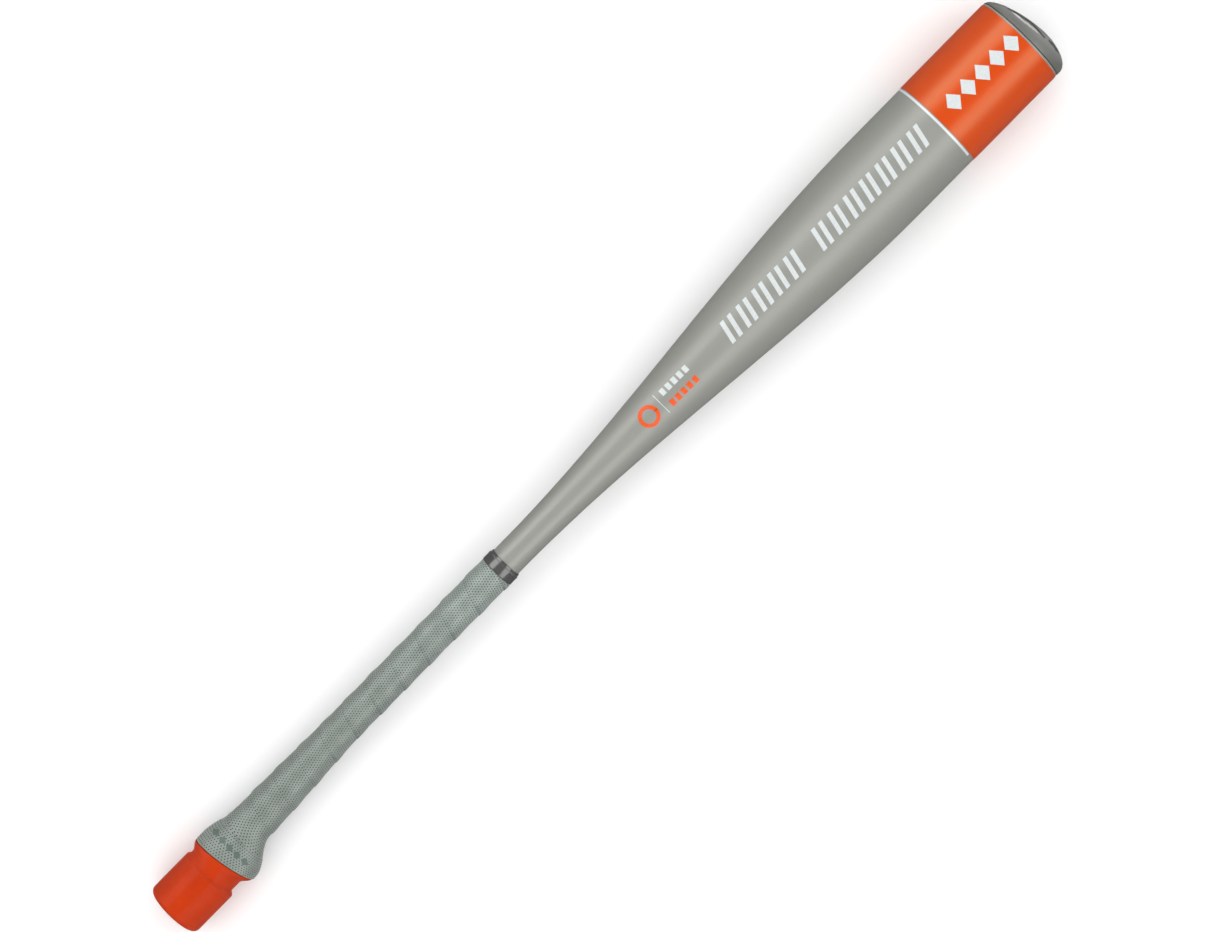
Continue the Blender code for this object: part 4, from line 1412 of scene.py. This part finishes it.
cap = {
    "base": 0.7962,
    "height": 0.0138,
    "shift": -0.009,
    "wall": 0.0011,
    "bore": 0.0255,
    "boreTop": 0.0018,  # above the base
    "throat": 0.0284,  # its radius inside the tube's rim
    "skirtDrop": 0.0033,  # below the tube's end
    "skirtRadius": 0.0303,
    "skirtTip": 0.0298,
    "skirtLength": 0.0060,
    "sides": 144,
    "softEdge": 0.00022,
    "windows": ((10, 104, 40, 13), (111, 146, 46, 7)),  # from, to, latitude and swell, in degrees
    "windowSteps": 28,
    "windowEnd": 3,  # half the width of a window's ends, in degrees
}
inlay = {"wall": 0.0015, "sleeve": 0.0040, "sleeveTop": 0.0006}  # sleeve: down from the cap's base, and up


def domePoint(latitude, around, inset=0.0):
    height = math.sin(latitude)
    radius = (batSizes["barrelRadius"] - inset) * max(math.cos(latitude), 0.0) ** 1.2
    centre = cap["shift"] * height**1.4
    station = cap["base"] + (cap["height"] - inset) * height
    return (station, centre + radius * math.cos(around), radius * math.sin(around))


def domeRings(latitudes, inset=0.0):
    turns = fullTurn(cap["sides"])
    return [[domePoint(math.radians(latitude), turn, inset) for turn in turns] for latitude in latitudes]


def circle(station, radius):
    return [(station, radius * math.cos(turn), radius * math.sin(turn)) for turn in fullTurn(cap["sides"])]


def windowBlock(start, end, latitude, swell):
    # A lens-shaped block that runs from above the dome to just inside its wall.
    above, below = -0.002, cap["wall"] + 0.0004
    rows = []
    for step in range(cap["windowSteps"] + 1):
        share = step / cap["windowSteps"]
        around = math.radians(mix(start, end, share))
        half = cap["windowEnd"] + swell * math.sin(math.pi * share)
        rows.append([domePoint(math.radians(latitude + side * half), around, inset)
                     for side, inset in ((-1, above), (1, above), (1, below), (-1, below))])
    return helper("windowBlock", closeEnds(loftMesh("windowBlock", rows, closed=False), 4))


def makeCap():
    skirtEnd = batSizes["barrelEnd"] - cap["skirtDrop"]
    skirtStart = skirtEnd - cap["skirtLength"]
    outer = domeRings([step * 4 for step in range(22)] + [86.5])
    inner = domeRings([84, 78, 72, 66, 60, 54, 48, 42, 36], cap["wall"])
    skirt = [circle(*spot) for spot in (
        (cap["base"], cap["throat"]), (skirtEnd, cap["throat"]), (skirtEnd, cap["skirtRadius"]),
        (skirtStart + 0.0015, cap["skirtRadius"]), (skirtStart, cap["skirtTip"]), (skirtStart, cap["bore"]),
        (cap["base"] + cap["boreTop"], cap["bore"]))]
    mesh = closeEnds(loftMesh("endCap", outer[::-1] + skirt + inner[::-1], closed=False), cap["sides"])
    dome = helper("capDome", mesh)
    blocks = []
    for side in (1, -1):
        for start, end, latitude, swell in cap["windows"]:
            block = windowBlock(side * start, side * end, latitude, swell)
            opening = dome.modifiers.new("window", "BOOLEAN")
            opening.operation = "DIFFERENCE"
            opening.object = block
            blocks.append(block)
    softEdge = dome.modifiers.new("softEdge", "BEVEL")
    softEdge.width = cap["softEdge"]
    softEdge.segments = 2
    softEdge.limit_method = "ANGLE"
    softEdge.angle_limit = math.radians(42)
    mesh = bake(dome)
    for obj in blocks + [dome]:
        bpy.data.objects.remove(obj)
    mesh.materials.clear()
    mesh.materials.append(capMatte)
    addPiece("endCap", mesh, ("end_cap",), 34)


def makeInlay():
    rimStart = cap["base"] - inlay["sleeve"]
    rim = cap["bore"] - batSizes["fitGap"]
    wall = inlay["wall"]
    gap = cap["wall"] + batSizes["fitGap"]
    outer = domeRings([85, 81, 77, 73, 69, 65, 61, 57, 53, 49, 45, 41, 38], gap)
    inner = domeRings([40, 46, 52, 58, 64, 70, 76], gap + wall)
    sleeve = [circle(*spot) for spot in (
        (cap["base"] + cap["boreTop"], rim), (rimStart, rim),
        (rimStart, rim - wall), (cap["base"] + inlay["sleeveTop"], rim - wall))]
    mesh = closeEnds(loftMesh("endCapInlay", outer + sleeve + inner, closed=False), cap["sides"])
    mesh.materials.append(capInlayPaintedHighlight)
    addPiece("endCapInlay", mesh, ("end_cap_inlay",), 34)


makeCap()
makeInlay()
print("cap: dome with windows over a glossy inlay")

# Printed marks: plain bars, a ring, a rule, dashes and lozenges laid on the surfaces as thin ink.

ink = {"thickness": 0.00006, "lift": 0.00002}
marks = {
    "bars": ((0.5250, 5), (0.6084, 7)),  # first station, and pairs of bars, of each row on the barrel
    "barPitch": 0.0144,  # from pair to pair
    "barFrom": -0.0057,  # From and Across are the Y at which a mark starts or stands
    "barHeight": 0.0155,
    "barStroke": 0.0032,
    "barSlant": 0.0036,
    "ringStation": 0.4537,
    "ringRadius": 0.0074,
    "ringStroke": 0.0026,
    "ruleStation": 0.4647,
    "ruleFrom": -0.0080,
    "ruleSize": (0.0005, 0.0160),
    "dashes": ((0.4695, 0.0026, 5, "white"), (0.4695, -0.0068, 5, "orange")),  # station, Y, count
    "dashPitch": 0.0052,
    "dashSize": (0.0034, 0.0046),
    "lozengeStation": 0.7345,
    "lozengePitch": 0.0130,
    "lozengeCount": 5,
    "lozengeAcross": 0.0024,
    "lozengeSize": (0.0058, 0.0070),
    "knobRow": (0.0598, 0.0108, 5),  # station, Y of the first, and count
    "knobPitch": 0.0066,
    "knobLift": 0.00012,
    "knobSize": (0.0026, 0.0030),
}


def inkPlate(name, columns, rows, outline):
    # A thin closed plate over the unit square, bent to an outline that maps (u, v) to (x, y).
    points = []
    for level in (0.0, ink["thickness"]):
        for row in range(rows + 1):
            for column in range(columns + 1):
                x, y = outline(column / columns, row / rows)
                points.append((x, y, level))
    across = columns + 1
    layer = across * (rows + 1)
    faces = []
    for row in range(rows):
        for column in range(columns):
            first = row * across + column
            faces.append((first, first + 1, first + across + 1, first + across))
            faces.append(tuple(corner + layer for corner in faces[-1]))
    border = list(range(columns))
    border += [row * across + columns for row in range(rows)]
    border += [rows * across + column for column in range(columns, 0, -1)]
    border += [row * across for row in range(rows, 0, -1)]
    for step, corner in enumerate(border):
        beside = border[(step + 1) % len(border)]
        faces.append((corner, beside, beside + layer, corner + layer))
    mesh = meshFrom(name, points, faces)
    faceOut(mesh, 0.000002)
    return helper(name, mesh)


def printTree():
    tree = newTree("printedRow", (
        ("Mark", "Object"), ("Count", "Int"), ("Pitch", "Vector"), ("Ink", "Material")))
    nodes, links = tree.nodes, tree.links
    given = nodes.new("NodeGroupInput")
    line = nodes.new("GeometryNodeMeshLine")
    line.label = "one place for each mark"
    line.mode = "OFFSET"
    mark = nodes.new("GeometryNodeObjectInfo")
    row = nodes.new("GeometryNodeInstanceOnPoints")
    row.label = "marks in a row"
    real = nodes.new("GeometryNodeRealizeInstances")
    colour = nodes.new("GeometryNodeSetMaterial")
    result = nodes.new("NodeGroupOutput")
    links.new(given.outputs["Count"], line.inputs["Count"])
    links.new(given.outputs["Pitch"], line.inputs["Offset"])
    links.new(given.outputs["Mark"], mark.inputs["Object"])
    links.new(line.outputs["Mesh"], row.inputs["Points"])
    links.new(mark.outputs["Geometry"], row.inputs["Instance"])
    links.new(row.outputs["Instances"], real.inputs["Geometry"])
    links.new(real.outputs["Geometry"], colour.inputs["Geometry"])
    links.new(given.outputs["Ink"], colour.inputs["Material"])
    links.new(colour.outputs["Geometry"], result.inputs["Geometry"])
    for place, node in enumerate(nodes):
        node.location = (place * 210, 0)
    return tree


rowTree = printTree()


def printRow(shape, mark, count, pitch, inkMaterial, place):
    # Adds a row of marks to shape, each flat point put on the bat by place(x, y, height).
    mesh = grow("printedRow", rowTree, {"Mark": mark, "Count": count, "Pitch": pitch, "Ink": inkMaterial})
    for vert in mesh.vertices:
        vert.co = place(*vert.co)
    shape.from_mesh(mesh)


def onBarrel(station, across, radius=None):
    # Gives a function that lays flat points on top of the tube, from a station and a Y.
    def place(x, y, height):
        reach = radius or tubeRadius(station + x)
        angle = math.asin((across + y) / reach)
        reach += ink["lift"] + height
        return (station + x, reach * math.sin(angle), reach * math.cos(angle))
    return place


def onKnob(station, across):
    # The same for the knob's wrap.
    left, right, _ = gripReach(station)
    centre, width = (left - right) / 2, (left + right) / 2

    def place(x, y, height):
        turn = math.acos((centre - across - y) / width)
        return handlePoint(station + x, turn, knobWrap["proud"] + marks["knobLift"] + height)
    return place


def finishPrint(name, shape, inkMaterial):
    mesh = bpy.data.meshes.new(name)
    bmesh.ops.recalc_face_normals(shape, faces=shape.faces)
    shape.to_mesh(mesh)
    shape.free()
    mesh.materials.append(inkMaterial)
    addPiece(name, mesh, (), 50)


def makePrints():
    stroke, slant, height = marks["barStroke"], marks["barSlant"], marks["barHeight"]
    bar = inkPlate("slantedBar", 3, 12, lambda u, v: (u * stroke + v * slant, v * height))
    ring = inkPlate("plainRing", 48, 3, lambda u, v: (
        (marks["ringRadius"] - v * marks["ringStroke"]) * math.cos(2 * math.pi * u),
        (marks["ringRadius"] - v * marks["ringStroke"]) * math.sin(2 * math.pi * u)))
    thin, tall = marks["ruleSize"]
    rule = inkPlate("thinRule", 1, 14, lambda u, v: (u * thin, v * tall))
    long, deep = marks["dashSize"]
    dash = inkPlate("smallDash", 2, 4, lambda u, v: (u * long, v * deep))
    wide, high = marks["lozengeSize"]
    lozenge = inkPlate("lozenge", 6, 6, lambda u, v: ((u - v) * wide, (u + v - 1) * high))
    still = (0, 0, 0)

    white = bmesh.new()
    for station, count in marks["bars"]:
        for shift in (0.0, 2 * stroke):
            printRow(white, bar, count, (marks["barPitch"], 0, 0), whiteInk,
                     onBarrel(station + shift, marks["barFrom"]))
    printRow(white, rule, 1, still, whiteInk, onBarrel(marks["ruleStation"], marks["ruleFrom"]))
    orange = bmesh.new()
    printRow(orange, ring, 1, still, orangeInk, onBarrel(marks["ringStation"], 0.0))
    for station, across, count, tone in marks["dashes"]:
        shape = white if tone == "white" else orange
        tint = whiteInk if tone == "white" else orangeInk
        printRow(shape, dash, count, (marks["dashPitch"], 0, 0), tint, onBarrel(station, across))
    finishPrint("barrelPrintWhite", white, whiteInk)
    finishPrint("barrelPrintOrange", orange, orangeInk)

    onBand = bmesh.new()
    printRow(onBand, lozenge, marks["lozengeCount"], (marks["lozengePitch"], 0, 0), whiteInk,
             onBarrel(marks["lozengeStation"], marks["lozengeAcross"], band["radius"]))
    finishPrint("bandPrint", onBand, whiteInk)

    wide, high = marks["knobSize"]
    small = inkPlate("smallLozenge", 4, 4, lambda u, v: ((u - v) * wide, (u + v - 1) * high))
    station, across, count = marks["knobRow"]
    onWrap = bmesh.new()
    printRow(onWrap, small, count, (0, -marks["knobPitch"], 0), knobInk, onKnob(station, across))
    finishPrint("knobPrint", onWrap, knobInk)
    for obj in (bar, ring, rule, dash, lozenge, small):
        bpy.data.objects.remove(obj)


makePrints()
print("prints: bars, ring, rule, dashes and lozenges on the barrel, band and knob")

# The pieces inside keep their own shapes and take working finishes.

innerFinishes = {
    "barrel_damper": damperFoam,
    "taper_damper": damperFoam,
    "handle_core": handleMoulding,
    "weight_adapter": handleMoulding,
    "threaded_plug": alloyMetal,
    "plug_cross_pin": steelMetal,
    "counterweight_slug": steelMetal,
    "weight_bolt": steelMetal,
    "bolt_washer": steelMetal,
    "bolt_lock_washer": steelMetal,
}
for nodeName, finish in innerFinishes.items():
    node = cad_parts[nodeName]
    for slotIndex in range(len(node.material_slots)):
        node.material_slots[slotIndex].material = finish
print("inside: steel, alloy, foam and moulded finishes")
